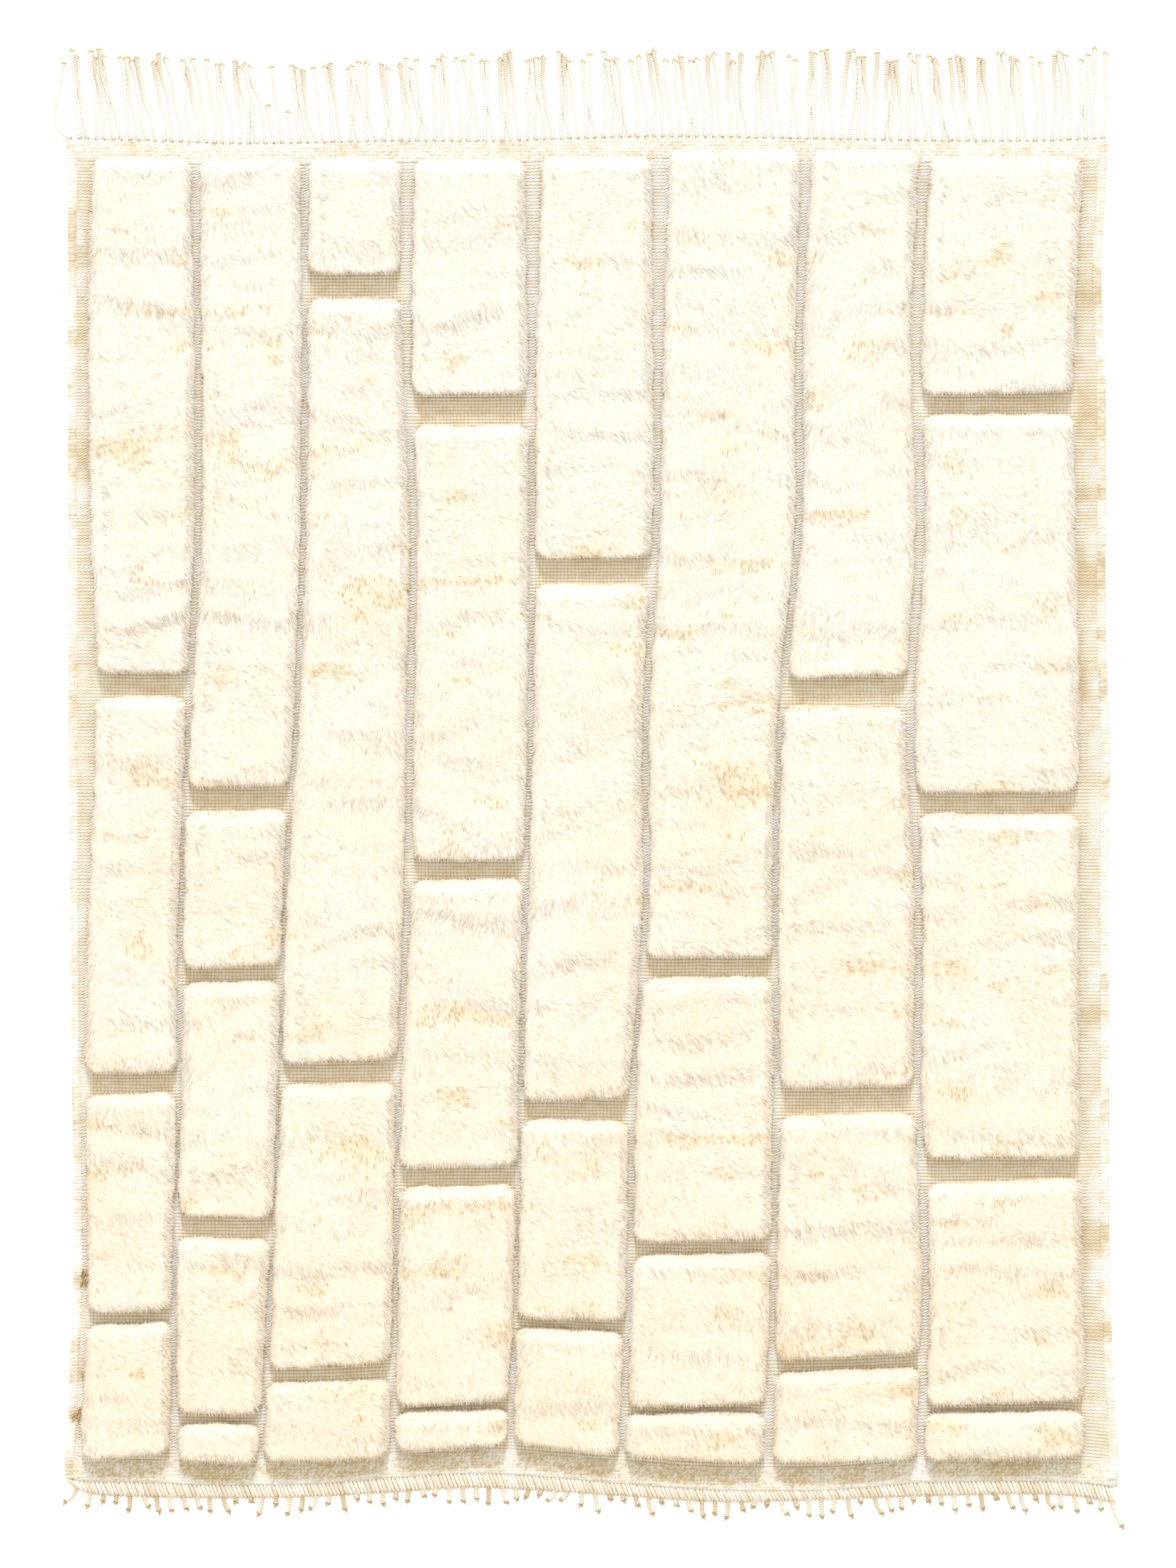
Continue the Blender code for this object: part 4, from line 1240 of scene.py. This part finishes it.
def top_locks(block, seed):
    """The locks over a block's crown and shoulders, draped along its skin."""
    chance = np.random.default_rng(seed)
    half_wide, half_long = half_sizes(block)
    across, along = np.meshgrid(
        np.arange(-half_wide, half_wide, LOCK_PITCH),
        np.arange(-half_long, half_long, LOCK_PITCH),
        indexing="ij",
    )
    shape = across.shape
    across = np.clip(across + chance.uniform(-0.5, 0.5, shape) * LOCK_PITCH, -half_wide, half_wide)
    along = np.clip(along + chance.uniform(-0.5, 0.5, shape) * LOCK_PITCH, -half_long, half_long)
    x, y, z, inset, out_x, out_y = (v.ravel() for v in surface(block, across, along, SUNK))
    angle = flow_angle(x, y) + chance.normal(0, HEADINGS, x.shape)
    outward = np.exp(-inset / SPILL_IN)
    go_x = np.cos(angle) * (1 - outward) + out_x * outward * SPILL
    go_y = np.sin(angle) * (1 - outward) + out_y * outward * SPILL
    heading = np.arctan2(go_y, go_x)
    toward = out_x * np.cos(heading) + out_y * np.sin(heading)
    fall = np.arctan(np.minimum(steepness(inset, out_y), STEEPEST_LOCK) * toward)
    rise = np.radians(chance.uniform(*LOCK_RISE, x.shape)) - fall
    long = chance.uniform(*LOCK_LONG, x.shape)
    long = np.minimum(long, OVERHANG + 1.1 * inset / np.maximum(toward, 0.2))
    wide = chance.uniform(*LOCK_WIDE, x.shape)
    luck = chance.uniform(0, 1, x.shape)
    # Short tan tufts where crevices are painted: painted shade.
    crevice_tuft = chance.uniform(0, 1, x.shape) < CREVICE_SHARE * painted_crevices(x, y)
    long, wide = np.where(crevice_tuft, CREVICE_LONG, long), np.where(crevice_tuft, CREVICE_WIDE, wide)
    tone = [np.where(crevice_tuft, a, b) for a, b in zip(CREVICE_TONE, COMBED_TONE)]
    z = z + np.where(crevice_tuft, CREVICE_UP, 0)
    shade = facing(x, y, inset, out_x, out_y, chance.normal(0, TILT, (2, len(x))))
    return spikes(x, y, z, heading, rise, long, wide, luck, tone, shade)


RIM_PITCH, RIM_BACK = 4.7, 3  # mm along the rim, and back from it
RIM_LEVELS = (-1, 3)  # two rows, a little under and over the rim's height
RIM_JITTER, LEVEL_JITTER = 1.5, 2.5
RIM_LONG, RIM_WIDE = (4.0, 7.5), (1.8, 2.8)
RIM_RISE, LOW_RISE = (-28, 8), 18  # degrees; rim locks droop, least at a block's lower side
RIM_HEADINGS, RIM_COMBED = 0.25, 0.9
RIM_SHADE_TONE = (0.16, 0.3)  # root and tip: rim locks hang in shade, so they are painted tan: painted shade


def rim_locks(block, seed):
    """Locks round a block's sides, hanging out over the channels."""
    chance = np.random.default_rng(seed)
    half_wide, half_long = half_sizes(block)
    a = np.array(evenly(-half_wide, half_wide, RIM_PITCH))
    b = np.array(evenly(-half_long, half_long, RIM_PITCH))
    across = np.concatenate([a, a, b * 0 - half_wide, b * 0 + half_wide])
    along = np.concatenate([a * 0 - half_long, a * 0 + half_long, b, b])
    across, along = np.tile(across, 2), np.tile(along, 2)
    x, y, z, inset, out_x, out_y = surface(block, across, along)
    x = x - out_x * RIM_BACK + chance.uniform(-RIM_JITTER, RIM_JITTER, x.shape)
    y = y - out_y * RIM_BACK + chance.uniform(-RIM_JITTER, RIM_JITTER, x.shape)
    level = np.repeat(RIM_LEVELS, len(x) // 2)
    z = belly(out_y) + level + chance.uniform(-LEVEL_JITTER, LEVEL_JITTER, x.shape)
    flow = flow_angle(x, y)
    go_x, go_y = out_x + RIM_COMBED * np.cos(flow), out_y + RIM_COMBED * np.sin(flow)
    heading = np.arctan2(go_y, go_x) + chance.normal(0, RIM_HEADINGS, x.shape)
    rise = np.radians(chance.uniform(*RIM_RISE, x.shape) + LOW_RISE * np.clip(-out_y, 0, 1))
    long = chance.uniform(*RIM_LONG, x.shape)
    wide = chance.uniform(*RIM_WIDE, x.shape)
    luck = chance.uniform(0, 1, x.shape)
    shade = facing(x, y, inset, out_x, out_y, chance.normal(0, TILT, (2, len(x))))
    return spikes(x, y, z, heading, rise, long, wide, luck, RIM_SHADE_TONE, shade)


# %% [markdown]
# In a few places beside the left border the cloth lies in small folds, in shade. Dark tan
# tufts of short locks, all leaning one way, stand there for that shade: painted shade.

# %% Dark tufts for the shaded folds at the left border
ShadeTuft = namedtuple("ShadeTuft", "across along lean")
SHADE_TUFTS = (
    ShadeTuft(-781, -765, -80),
    ShadeTuft(-778, -752, -95),
    ShadeTuft(-782, -908, -60),
    ShadeTuft(-776, -918, -80),
    ShadeTuft(-787, -965, -110),
    ShadeTuft(-792, -974, -120),
    ShadeTuft(-778, -982, -50),
)
SHADE_TUFT_LOCKS, SHADE_TUFT_LONG, SHADE_TUFT_SPREAD = 16, 12.0, 3.0
SHADE_TUFT_WIDE, SHADE_TUFT_OVER = (1.6, 2.6), (2, 7)  # how wide a lock is, and how far over the cloth
SHADE_TUFT_HEADINGS, SHADE_TUFT_RISE = 0.3, (-0.2, 0.15)  # radians
# Their dark tan tone is painted shade.
SHADE_TUFT_LUCK, SHADE_TUFT_TONE = 0.3, (-0.1, 0.05)


def dark_tufts_for_folds():
    """The locks of all the dark tufts at once: painted shade for the folds."""
    chance = np.random.default_rng(91)
    spots = np.array([[fold.across, fold.along] for fold in SHADE_TUFTS]).repeat(SHADE_TUFT_LOCKS, 0)
    x, y = (spots + chance.normal(0, SHADE_TUFT_SPREAD, spots.shape)).T
    z = chance.uniform(CLOTH_TOP + SHADE_TUFT_OVER[0], CLOTH_TOP + SHADE_TUFT_OVER[1], x.shape)
    lean = np.radians(np.repeat([fold.lean for fold in SHADE_TUFTS], SHADE_TUFT_LOCKS))
    heading = lean + chance.normal(0, SHADE_TUFT_HEADINGS, x.shape)
    rise = chance.uniform(*SHADE_TUFT_RISE, x.shape)
    long = SHADE_TUFT_LONG * chance.uniform(0.5, 1, x.shape)
    wide = chance.uniform(*SHADE_TUFT_WIDE, x.shape)
    return spikes(x, y, z, heading, rise, long, wide, x * 0 + SHADE_TUFT_LUCK, SHADE_TUFT_TONE)


points, faces, marks = dark_tufts_for_folds()
dark_fold_tufts = make_piece("dark_tufts_for_folds", points, faces, pile_wool, {"lock": marks})

# %% Grow them, in three lots by column, and then along all the rims
LOTS = {"pile_locks_left": (1, 2, 3), "pile_locks_middle": (4, 5, 6), "pile_locks_right": (7, 8)}
ALL_COLUMNS = range(1, len(COLUMN_ENDS) + 1)
TOP_SEED, RIM_SEED = 100, 200


def grow(name, locks, seed, columns):
    """One piece with the locks of all the blocks in some columns."""
    mine = [(k, block) for k, block in enumerate(BLOCKS) if block.column in columns]
    points, faces, marks, normals = gather([locks(block, seed + k) for k, block in mine])
    return make_piece(name, points, faces, pile_wool, {"lock": marks}, normals)


pile_pieces = [cushions, dark_fold_tufts]
pile_pieces += [grow(name, top_locks, TOP_SEED, columns) for name, columns in LOTS.items()]
pile_pieces.append(grow("rim_locks", rim_locks, RIM_SEED, ALL_COLUMNS))

# %% [markdown]
# ## Twisted strands
# A warp strand of the fringe is two plies twisted hard together, and knotted near its tip
# so that it can't untwist. Seen end on it is shaped like a peanut that turns as it goes
# along. Each strand's path repeats the solids' path, bent softly instead of at corners.

# %% The long strands' paths
STRAND_PITCH = 13.1
FIRST_ROOT, LAST_ROOT = 9.0, 7.0  # from the cloth's corners to the outer strands
ROOT_IN = 4.5  # how deep a strand's root lies in the heading
# The first strand stands out from the rest: points from its root, along the floor.
CORNER_STRAND = ((0, 0), (-16, 9), (-25, 24), (-24, 70), (-19, 122))
# How far the strands are combed sideways, and how long they are, along the fringe.
Comb = namedtuple("Comb", "across lean long")
COMBED = (
    Comb(-800, -12, 134),
    Comb(-700, -24, 136),
    Comb(-560, -16, 122),
    Comb(-420, -18, 117),
    Comb(-300, -9, 122),
    Comb(-160, -10, 130),
    Comb(0, -10, 131),
    Comb(160, -11, 127),
    Comb(330, -4, 131),
    Comb(440, 6, 133),
    Comb(560, -18, 130),
    Comb(680, -8, 133),
    Comb(790, 7, 136),
)
TIP_APART = 9.6  # least distance between two neighbouring tips
TIP_WANDER, MID_WANDER = 3.6, 1.0  # how far a strand has its own way
SHORTER, LONGER = 12.0, 7.0  # how much its length may differ from its neighbours'
BOW, BOW_WAVE = 2.0, 53.0  # neighbours bow alike, in slow waves along the fringe
MIDDLE_AT, MIDDLE_LEAN = 0.42, 0.3  # where a strand bends, and how far it has leaned there
# Strands, counted from the left, that have lost their ends, and what is left of them.
BROKEN_OFF = {24: 62.0, 26: 52.0}
FRINGE_SEED = 11


def upper_strands():
    """The path of each long strand, from its root in the heading to its knotted tip."""
    chance = random.Random(FRINGE_SEED)
    first, last = TOP_EDGE[0].across + FIRST_ROOT, TOP_EDGE[-1].across - LAST_ROOT
    roots = evenly(first, last, STRAND_PITCH)
    tips = []
    for x in roots:
        tip = x + column_of(COMBED, "lean", x, "across")
        tip += chance.uniform(-TIP_WANDER, TIP_WANDER)
        tips.append(max(tip, tips[-1] + TIP_APART) if tips else tip)
    paths = []
    for k, (x, tip) in enumerate(zip(roots, tips)):
        root = np.array([x, top_line(x) - ROOT_IN])
        long = column_of(COMBED, "long", x, "across") + chance.uniform(-SHORTER, LONGER)
        bow = BOW * math.sin(x / BOW_WAVE) + chance.uniform(-MID_WANDER, MID_WANDER)
        kept = BROKEN_OFF.get(k, long) / long
        middle = root + np.array([MIDDLE_LEAN * (tip - x) + bow, MIDDLE_AT * long])
        end = root + np.array([tip - x, long + ROOT_IN])
        if k == 0:
            paths.append(np.array([root + step for step in CORNER_STRAND]))
        else:
            middle = mix(root, middle, min(1.0, 1.6 * kept))
            paths.append(np.array([root, middle, mix(root, end, kept)]))
    return paths


long_paths = upper_strands()
print("long strands", len(long_paths))

# %% A twisted strand along a path
TWIST_TURN = 7.4  # mm for one full turn of the two plies
RINGS_A_TURN = 5
STRAND_SIDES = 6
STRAND_RADIUS = 4.3
GROOVE_RADIUS = 0.74  # of that, in the groove between the plies
LIFT_FROM, LIFT_IN = 4.0, 9  # a strand's height at its root, and how soon it is down
SHORT_SWAY, LONG_SWAY = (0.6, 9), (1.3, 19)  # how far it sways, and how often
HOP, HOP_WAVE = 0.5, 13  # how far it hops off the floor, and how often
SWAY_FROM = 20  # mm from its root, where it sways in full
ROOT_TAN, ROOT_TAN_LONG = 0.5, 5  # dirt at the root, and how soon it is gone
JUST_OVER = 0.05  # mm over the floor, and no piece lies lower
TANNING = 0.5  # share of its length that it takes to go tan


def soft_path(path, step):
    """Places a step apart on a soft curve through a path's corners."""
    path = np.asarray(path, float)
    lengths = np.linalg.norm(np.diff(path, axis=0), axis=1)
    at = np.concatenate(([0], np.cumsum(lengths)))
    stops = np.linspace(0, at[-1], max(4, round(at[-1] / step) + 1))
    if len(path) == 2:
        return np.stack([np.interp(stops, at, path[:, k]) for k in range(2)], -1), stops
    return np.stack([smooth(at, path[:, k], stops) for k in range(2)], -1), stops


def twisted(path, chance, tan, tan_from, drawn):
    """A two-ply strand lying on the floor along a path, drawn sideways in its middle. Also
    where it ends and which way it points there."""
    places, stops = soft_path(path, TWIST_TURN / RINGS_A_TURN)
    wiggle = chance.uniform(0, 6.28, 2)
    waves = zip((SHORT_SWAY, LONG_SWAY), wiggle)
    sway = sum(far * np.sin(stops / wave + start) for (far, wave), start in waves)
    sway = sway + drawn * np.sin(np.pi * np.clip(stops / stops[-1], 0, 1) ** 0.6)
    ahead = unit(np.gradient(places, axis=0))
    side = np.stack([-ahead[:, 1], ahead[:, 0]], -1)
    places = places + side * (sway * np.minimum(stops / SWAY_FROM, 1))[:, None]
    height = STRAND_RADIUS + (LIFT_FROM - STRAND_RADIUS) * np.exp(-stops / LIFT_IN)
    height = height + HOP * np.maximum(0, np.sin(stops / HOP_WAVE + wiggle[0]))
    side_turn = np.arange(STRAND_SIDES) / STRAND_SIDES * 2 * np.pi
    turn = side_turn[None] + (wiggle[1] + 2 * np.pi * stops / TWIST_TURN)[:, None]
    crest = 0.5 + 0.5 * np.cos(2 * side_turn)
    swell = STRAND_RADIUS * mix(GROOVE_RADIUS, 1, crest)
    x = places[:, 0, None] + side[:, 0, None] * np.cos(turn) * swell
    y = places[:, 1, None] + side[:, 1, None] * np.cos(turn) * swell
    z = np.maximum(height[:, None] + np.sin(turn) * swell, JUST_OVER)
    points, faces = skin(world(x, y, z)[None])
    share = (stops / stops[-1])[:, None] * np.ones(STRAND_SIDES)
    low = ROOT_TAN * np.exp(-stops / ROOT_TAN_LONG)[:, None]
    yellow = np.clip(tan * np.clip((share - tan_from) / TANNING, 0, 1) + low, 0, 1)
    marks = np.stack([crest + 0 * share, yellow, share * 0], -1).reshape(-1, 3)
    return (points, faces, marks), places[-1], ahead[-1]


# %% A knot and its frayed tuft
KNOT_SIZE = 4.9  # mm from the knot's middle to the outside of its loops
KNOT_STEPS, KNOT_SIDES = 16, 4
LOOPS_OUT, LOOPS_UP, LOOP_TUBE = 4.1, 2.3, 1.65  # in the units that a trefoil is drawn in
KNOT_CREST, KNOT_YELLOW = 0.8, 0.95


def knot(middle, ahead, chance):
    """A small overhand knot: one closed trefoil loop round the strand."""
    turn = np.linspace(0, 2 * np.pi, KNOT_STEPS, endpoint=False) + chance.uniform(0, 1)
    loop_x = np.sin(turn) + 2 * np.sin(2 * turn)
    loop_y = np.cos(turn) - 2 * np.cos(2 * turn)
    loop = np.stack([loop_x, loop_y, -np.sin(3 * turn)], -1)
    tangent = unit(np.roll(loop, -1, 0) - np.roll(loop, 1, 0))
    side = unit(np.cross(UP, tangent))
    normal = np.cross(tangent, side)
    scale = KNOT_SIZE / LOOPS_OUT
    spin = math.atan2(ahead[1], ahead[0]) + chance.normal(0, 0.3)
    corner = np.arange(KNOT_SIDES) / KNOT_SIDES * 2 * np.pi
    rings = (
        loop[:, None]
        + side[:, None] * np.cos(corner)[:, None] * LOOP_TUBE
        + normal[:, None] * np.sin(corner)[:, None] * LOOP_TUBE
    ) * scale
    x = middle[0] + rings[..., 0] * math.cos(spin) - rings[..., 1] * math.sin(spin)
    y = middle[1] + rings[..., 0] * math.sin(spin) + rings[..., 1] * math.cos(spin)
    z = np.maximum(rings[..., 2] + LOOPS_UP * scale, JUST_OVER)
    points = world(x, y, z).reshape(-1, 3)
    number = np.arange(len(points)).reshape(KNOT_STEPS, KNOT_SIDES)
    ring_on = np.roll(number, -1, 0)
    quads = np.stack([number, np.roll(number, -1, 1), np.roll(ring_on, -1, 1), ring_on], -1)
    marks = np.tile([KNOT_CREST, KNOT_YELLOW, 0.0], (len(points), 1))
    return points, [quads.reshape(-1, 4)], marks


TUFTS, TUFT_LONG = 4, 10.5
TUFT_WIDE, TUFT_OVER = (1.8, 2.8), (1.0, 3.2)  # how wide a tuft is, and how far over the floor
TUFT_FAN, TUFT_RISE = 0.5, (-0.1, 0.12)  # radians
TUFT_LUCK, TUFT_TONE = 0.9, (0.9, 0.75)


def frayed(tip, ahead, chance):
    """The cut end past a knot, opened into a few tufts."""
    heading = math.atan2(ahead[1], ahead[0]) + chance.uniform(-TUFT_FAN, TUFT_FAN, TUFTS)
    x = tip[0] + chance.uniform(-1, 1, TUFTS)
    y = tip[1] + chance.uniform(-1, 1, TUFTS)
    z = chance.uniform(*TUFT_OVER, TUFTS)
    rise = chance.uniform(*TUFT_RISE, TUFTS)
    long = chance.uniform(0.6, 1.1, TUFTS) * TUFT_LONG
    wide = chance.uniform(*TUFT_WIDE, TUFTS)
    luck = np.full(TUFTS, TUFT_LUCK)
    return spikes(x, y, z, heading, rise, long, wide, luck, TUFT_TONE)


# %% The long fringe, its strands drawn together in bunches
KNOT_BACK = 8.0  # the knot sits this far before the strand's end
BUNCHES = (1, 2, 2, 3, 4)  # how many strands lie together
PULLED = 0.42  # how far a strand is pulled to the middle of its bunch
LONG_TANS, LONG_TAN_FROM = (0.0, 0.15, 0.6), 0.35  # how tan its tips are, and from where on
DRAWN = 2.6


def dressed_strand(path, tan, tan_from, chance, drawn=0.0):
    """The strand, its knot and its tuft."""
    path = np.asarray(path, float)
    end = path[-1] - unit(path[-1] - path[-2]) * KNOT_BACK
    strand, tip, ahead = twisted([*path[:-1], end], chance, tan, tan_from, drawn)
    return [strand, knot(tip, ahead, chance), frayed(tip, ahead, chance)]


def bunched(paths, chance):
    """Strands tangle: the tips of a few neighbours are drawn together."""
    done = []
    while len(done) < len(paths):
        bunch = paths[len(done) : len(done) + int(chance.choice(BUNCHES))]
        middle = np.mean([path[-1][0] for path in bunch])
        for path in bunch:
            pull = np.array([(middle - path[-1][0]) * PULLED, 0.0])
            shares = np.linspace(0, 1, len(path))
            done.append(np.array([place + pull * share for place, share in zip(path, shares)]))
    return done


chance = np.random.default_rng(41)
parts = []
for path in bunched(long_paths, chance):
    tan = chance.choice(LONG_TANS)
    drawn = chance.uniform(-DRAWN, DRAWN)
    parts += dressed_strand(path, tan, LONG_TAN_FROM, chance, drawn)
points, faces, marks = gather(parts)
fringe = make_piece("long_fringe", points, faces, warp_wool, {"lock": marks})

# %% [markdown]
# ## Stitched ends
# At the top, a pair of wefts is twined round the warps to hold the weave. At the bottom
# the edge is overcast: a thick yarn goes over and over it, each stitch leaning like the
# one before. Both are rows of short arched tubes over a core.


# %% A row of slanted stitches over a core
# Each stitch: over the upper edge, across the top, and down round the lower edge. Share is
# how far across it is, level how high, and fat how thick the yarn.
StitchPoint = namedtuple("StitchPoint", "share level fat")
STITCH = (
    StitchPoint(0.0, 0.25, 0.6),
    StitchPoint(0.02, 0.62, 0.95),
    StitchPoint(0.22, 0.95, 1.0),
    StitchPoint(0.5, 1.0, 1.05),
    StitchPoint(0.78, 0.95, 1.0),
    StitchPoint(0.98, 0.6, 0.95),
    StitchPoint(1.0, 0.2, 0.6),
)
STITCH_SIDES = 6
YARN_FLAT = 0.7  # the yarn's height, as a share of its width
YARN_TAN = 0.45
STITCH_JITTER = 0.12  # of the pitch
STITCH_LEVELS = (0.92, 1.06)  # how much a stitch's height may differ
STITCH_OVER = 0.3  # mm that a stitch reaches past the edges it holds
CORE_STEPS, CORE_IN = 160, 0.6


def stitched(name, upper, lower, ends, pitch, thick, lean, yarn, seed, dress):
    """A row of stitches from one end to the other, and the core that they hold."""
    chance = np.random.default_rng(seed)
    x = np.array(evenly(*ends, pitch))
    x = x + chance.uniform(-STITCH_JITTER, STITCH_JITTER, x.shape) * pitch
    high, low = upper(x), lower(x)
    share, level, fat = np.array(STITCH).T
    jitter = chance.uniform(-0.5, 0.5, (len(x), len(share)))
    path_x = x[:, None] + lean * (share - 0.5) + jitter
    path_y = mix(high[:, None] + STITCH_OVER, low[:, None] - STITCH_OVER, share)
    path_z = thick * level * chance.uniform(*STITCH_LEVELS, (len(x), 1))
    spine = np.stack([path_x, path_y, path_z], -1)
    ahead = unit(np.gradient(spine, axis=1))
    side = unit(np.cross(UP, ahead))
    normal = np.cross(ahead, side)
    turn = np.arange(STITCH_SIDES) / STITCH_SIDES * 2 * np.pi
    fat = (yarn / 2) * fat[None, :, None, None]
    rings = (
        spine[:, :, None]
        + side[:, :, None] * np.cos(turn)[:, None] * fat
        + normal[:, :, None] * np.sin(turn)[:, None] * fat * YARN_FLAT
    )
    rings[..., 2] = np.maximum(rings[..., 2], JUST_OVER)
    points, faces = skin(world(rings[..., 0], rings[..., 1], rings[..., 2]))
    tan = np.repeat(chance.uniform(0.0, YARN_TAN, len(x)), len(share) * STITCH_SIDES)
    mark, material, marks, core_mark = dress(tan)
    stitches = (points, faces, marks)

    places = np.linspace(*ends, CORE_STEPS)
    top, bottom = upper(places) - CORE_IN, lower(places) + CORE_IN
    core_y = np.stack([bottom, mix(bottom, top, 0.2), mix(bottom, top, 0.8), top, top, bottom], 1)
    core_z = np.array([0.5, 0.85, 0.85, 0.5, 0.03, 0.03]) * thick
    rings = world(places[:, None] + 0 * core_y, core_y, core_z + 0 * core_y)[None]
    core_points, core_faces = skin(rings[:, :, ::-1])
    core_marks = np.tile(core_mark, (len(core_points), 1))
    points, faces, marks = gather([stitches, (core_points, core_faces, core_marks)])
    return make_piece(name, points, faces, material, {mark: marks})


def as_ground(tan):
    """Weft yarn like the plain weave beside it: how the stitches and their core are marked."""
    marks = np.stack([0.95 - 0.9 * tan, tan * 0 + 1, tan * 0], -1)
    return "weave", weft_wool, marks, [0.3, 1, 0]


def as_edging(tan):
    """Thick warp yarn, a little tan."""
    marks = np.stack([tan * 0 + 0.75, 0.5 + 0.6 * tan, tan * 0], -1)
    return "lock", warp_wool, marks, [0.4, 0.6, 0]


def edging_low(x):
    return edging_line(x, "lower")


heading = stitched(
    "twined_heading",
    upper=top_line,
    lower=heading_line,
    ends=(TOP_EDGE[0].across + 2, TOP_EDGE[-1].across - 2),
    pitch=5.2,
    thick=4.9,
    lean=0.0,
    yarn=3.8,
    seed=51,
    dress=as_ground,
)
edging = stitched(
    "overcast_edging",
    upper=edging_line,
    lower=edging_low,
    ends=(EDGING[0].across + 3, EDGING[-1].across - 3),
    pitch=6.0,
    thick=5.8,
    lean=9.0,
    yarn=5.3,
    seed=52,
    dress=as_edging,
)

# %% The short ends under the edging
END_PITCH = 20.6
FIRST_END, LAST_END = 16.0, 22.0  # from the edging's corners to the outer short ends
END_STRAIGHT = 20.0  # length of a short end that hangs straight down
END_SHORTEST, END_LONGER = 16.0, 18.0  # the shortest, and what a leaning one may add
END_SPREAD = 52.0  # degrees that a short end may lean to either side
END_TRIES = 60  # draws for one end, calmer and calmer, until it keeps clear of the others
END_CLEAR = 10.1  # least distance between the middles of two short ends
# The last end stands out at the corner: points from its root, along the floor.
CORNER_TAIL = ((0, 0), (4, -14), (12, -32), (19, -44))
SHORT_TANS, SHORT_TAN_FROM = (0.35, 0.85), -0.4  # tan all along
ENDS_SEED = 23


def stops_on(path):
    """Points all along a path, the tip with its knot included."""
    shares = (0.2, 0.4, 0.6, 0.8, 1.0)
    return [mix(a, b, s) for a, b in zip(path, path[1:]) for s in shares]


def clear_of(path, others, apart):
    """Whether a short end keeps apart from others."""
    there = [stop for other in others for stop in stops_on(other)]
    return all(math.dist(a, b) > apart for a in stops_on(path) for b in there)


def lower_ends():
    """The path of each short end under the edging, no two of them touching."""
    chance = random.Random(ENDS_SEED)
    first, last = EDGING[0].across + FIRST_END, EDGING[-1].across - LAST_END
    count = round((last - first) / END_PITCH) + 1

    def root_at(k):
        x = mix(first, last, k / (count - 1))
        return np.array([x, edging_low(x) + ROOT_IN])

    paths = []
    for k in range(count):
        root, after = root_at(k), root_at(k + 1)
        taken = [*paths[-2:], [after, after - np.array([0.0, END_STRAIGHT])]]
        for attempt in range(END_TRIES):
            calm = 1 - attempt / END_TRIES
            long = chance.uniform(END_SHORTEST, END_STRAIGHT + END_LONGER * calm)
            angle = math.radians(chance.uniform(-END_SPREAD, END_SPREAD)) * calm
            reach = np.array([math.sin(angle), -math.cos(angle)]) * long
            bend = np.array([0.0, -0.5 * long])
            path = [root, root + 0.5 * (bend + 0.5 * reach), root + reach]
            if clear_of(path, taken, END_CLEAR):
                break
        paths.append(path)
    corner = np.array([EDGING[-1].across - 4.0, EDGING[-1].lower + ROOT_IN])
    paths.append([corner + step for step in CORNER_TAIL])
    return paths


short_paths = lower_ends()
chance = np.random.default_rng(61)
parts = []
for path in short_paths:
    tan = chance.uniform(*SHORT_TANS)
    parts += dressed_strand(path, tan, SHORT_TAN_FROM, chance)
points, faces, marks = gather(parts)
short_ends = make_piece("short_ends", points, faces, warp_wool, {"lock": marks})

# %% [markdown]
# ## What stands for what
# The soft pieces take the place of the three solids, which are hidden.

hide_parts("rug_body")
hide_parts("rug_body")
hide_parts("fringe_top")
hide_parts("fringe_top")
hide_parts("fringe_bottom")
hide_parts("fringe_bottom")
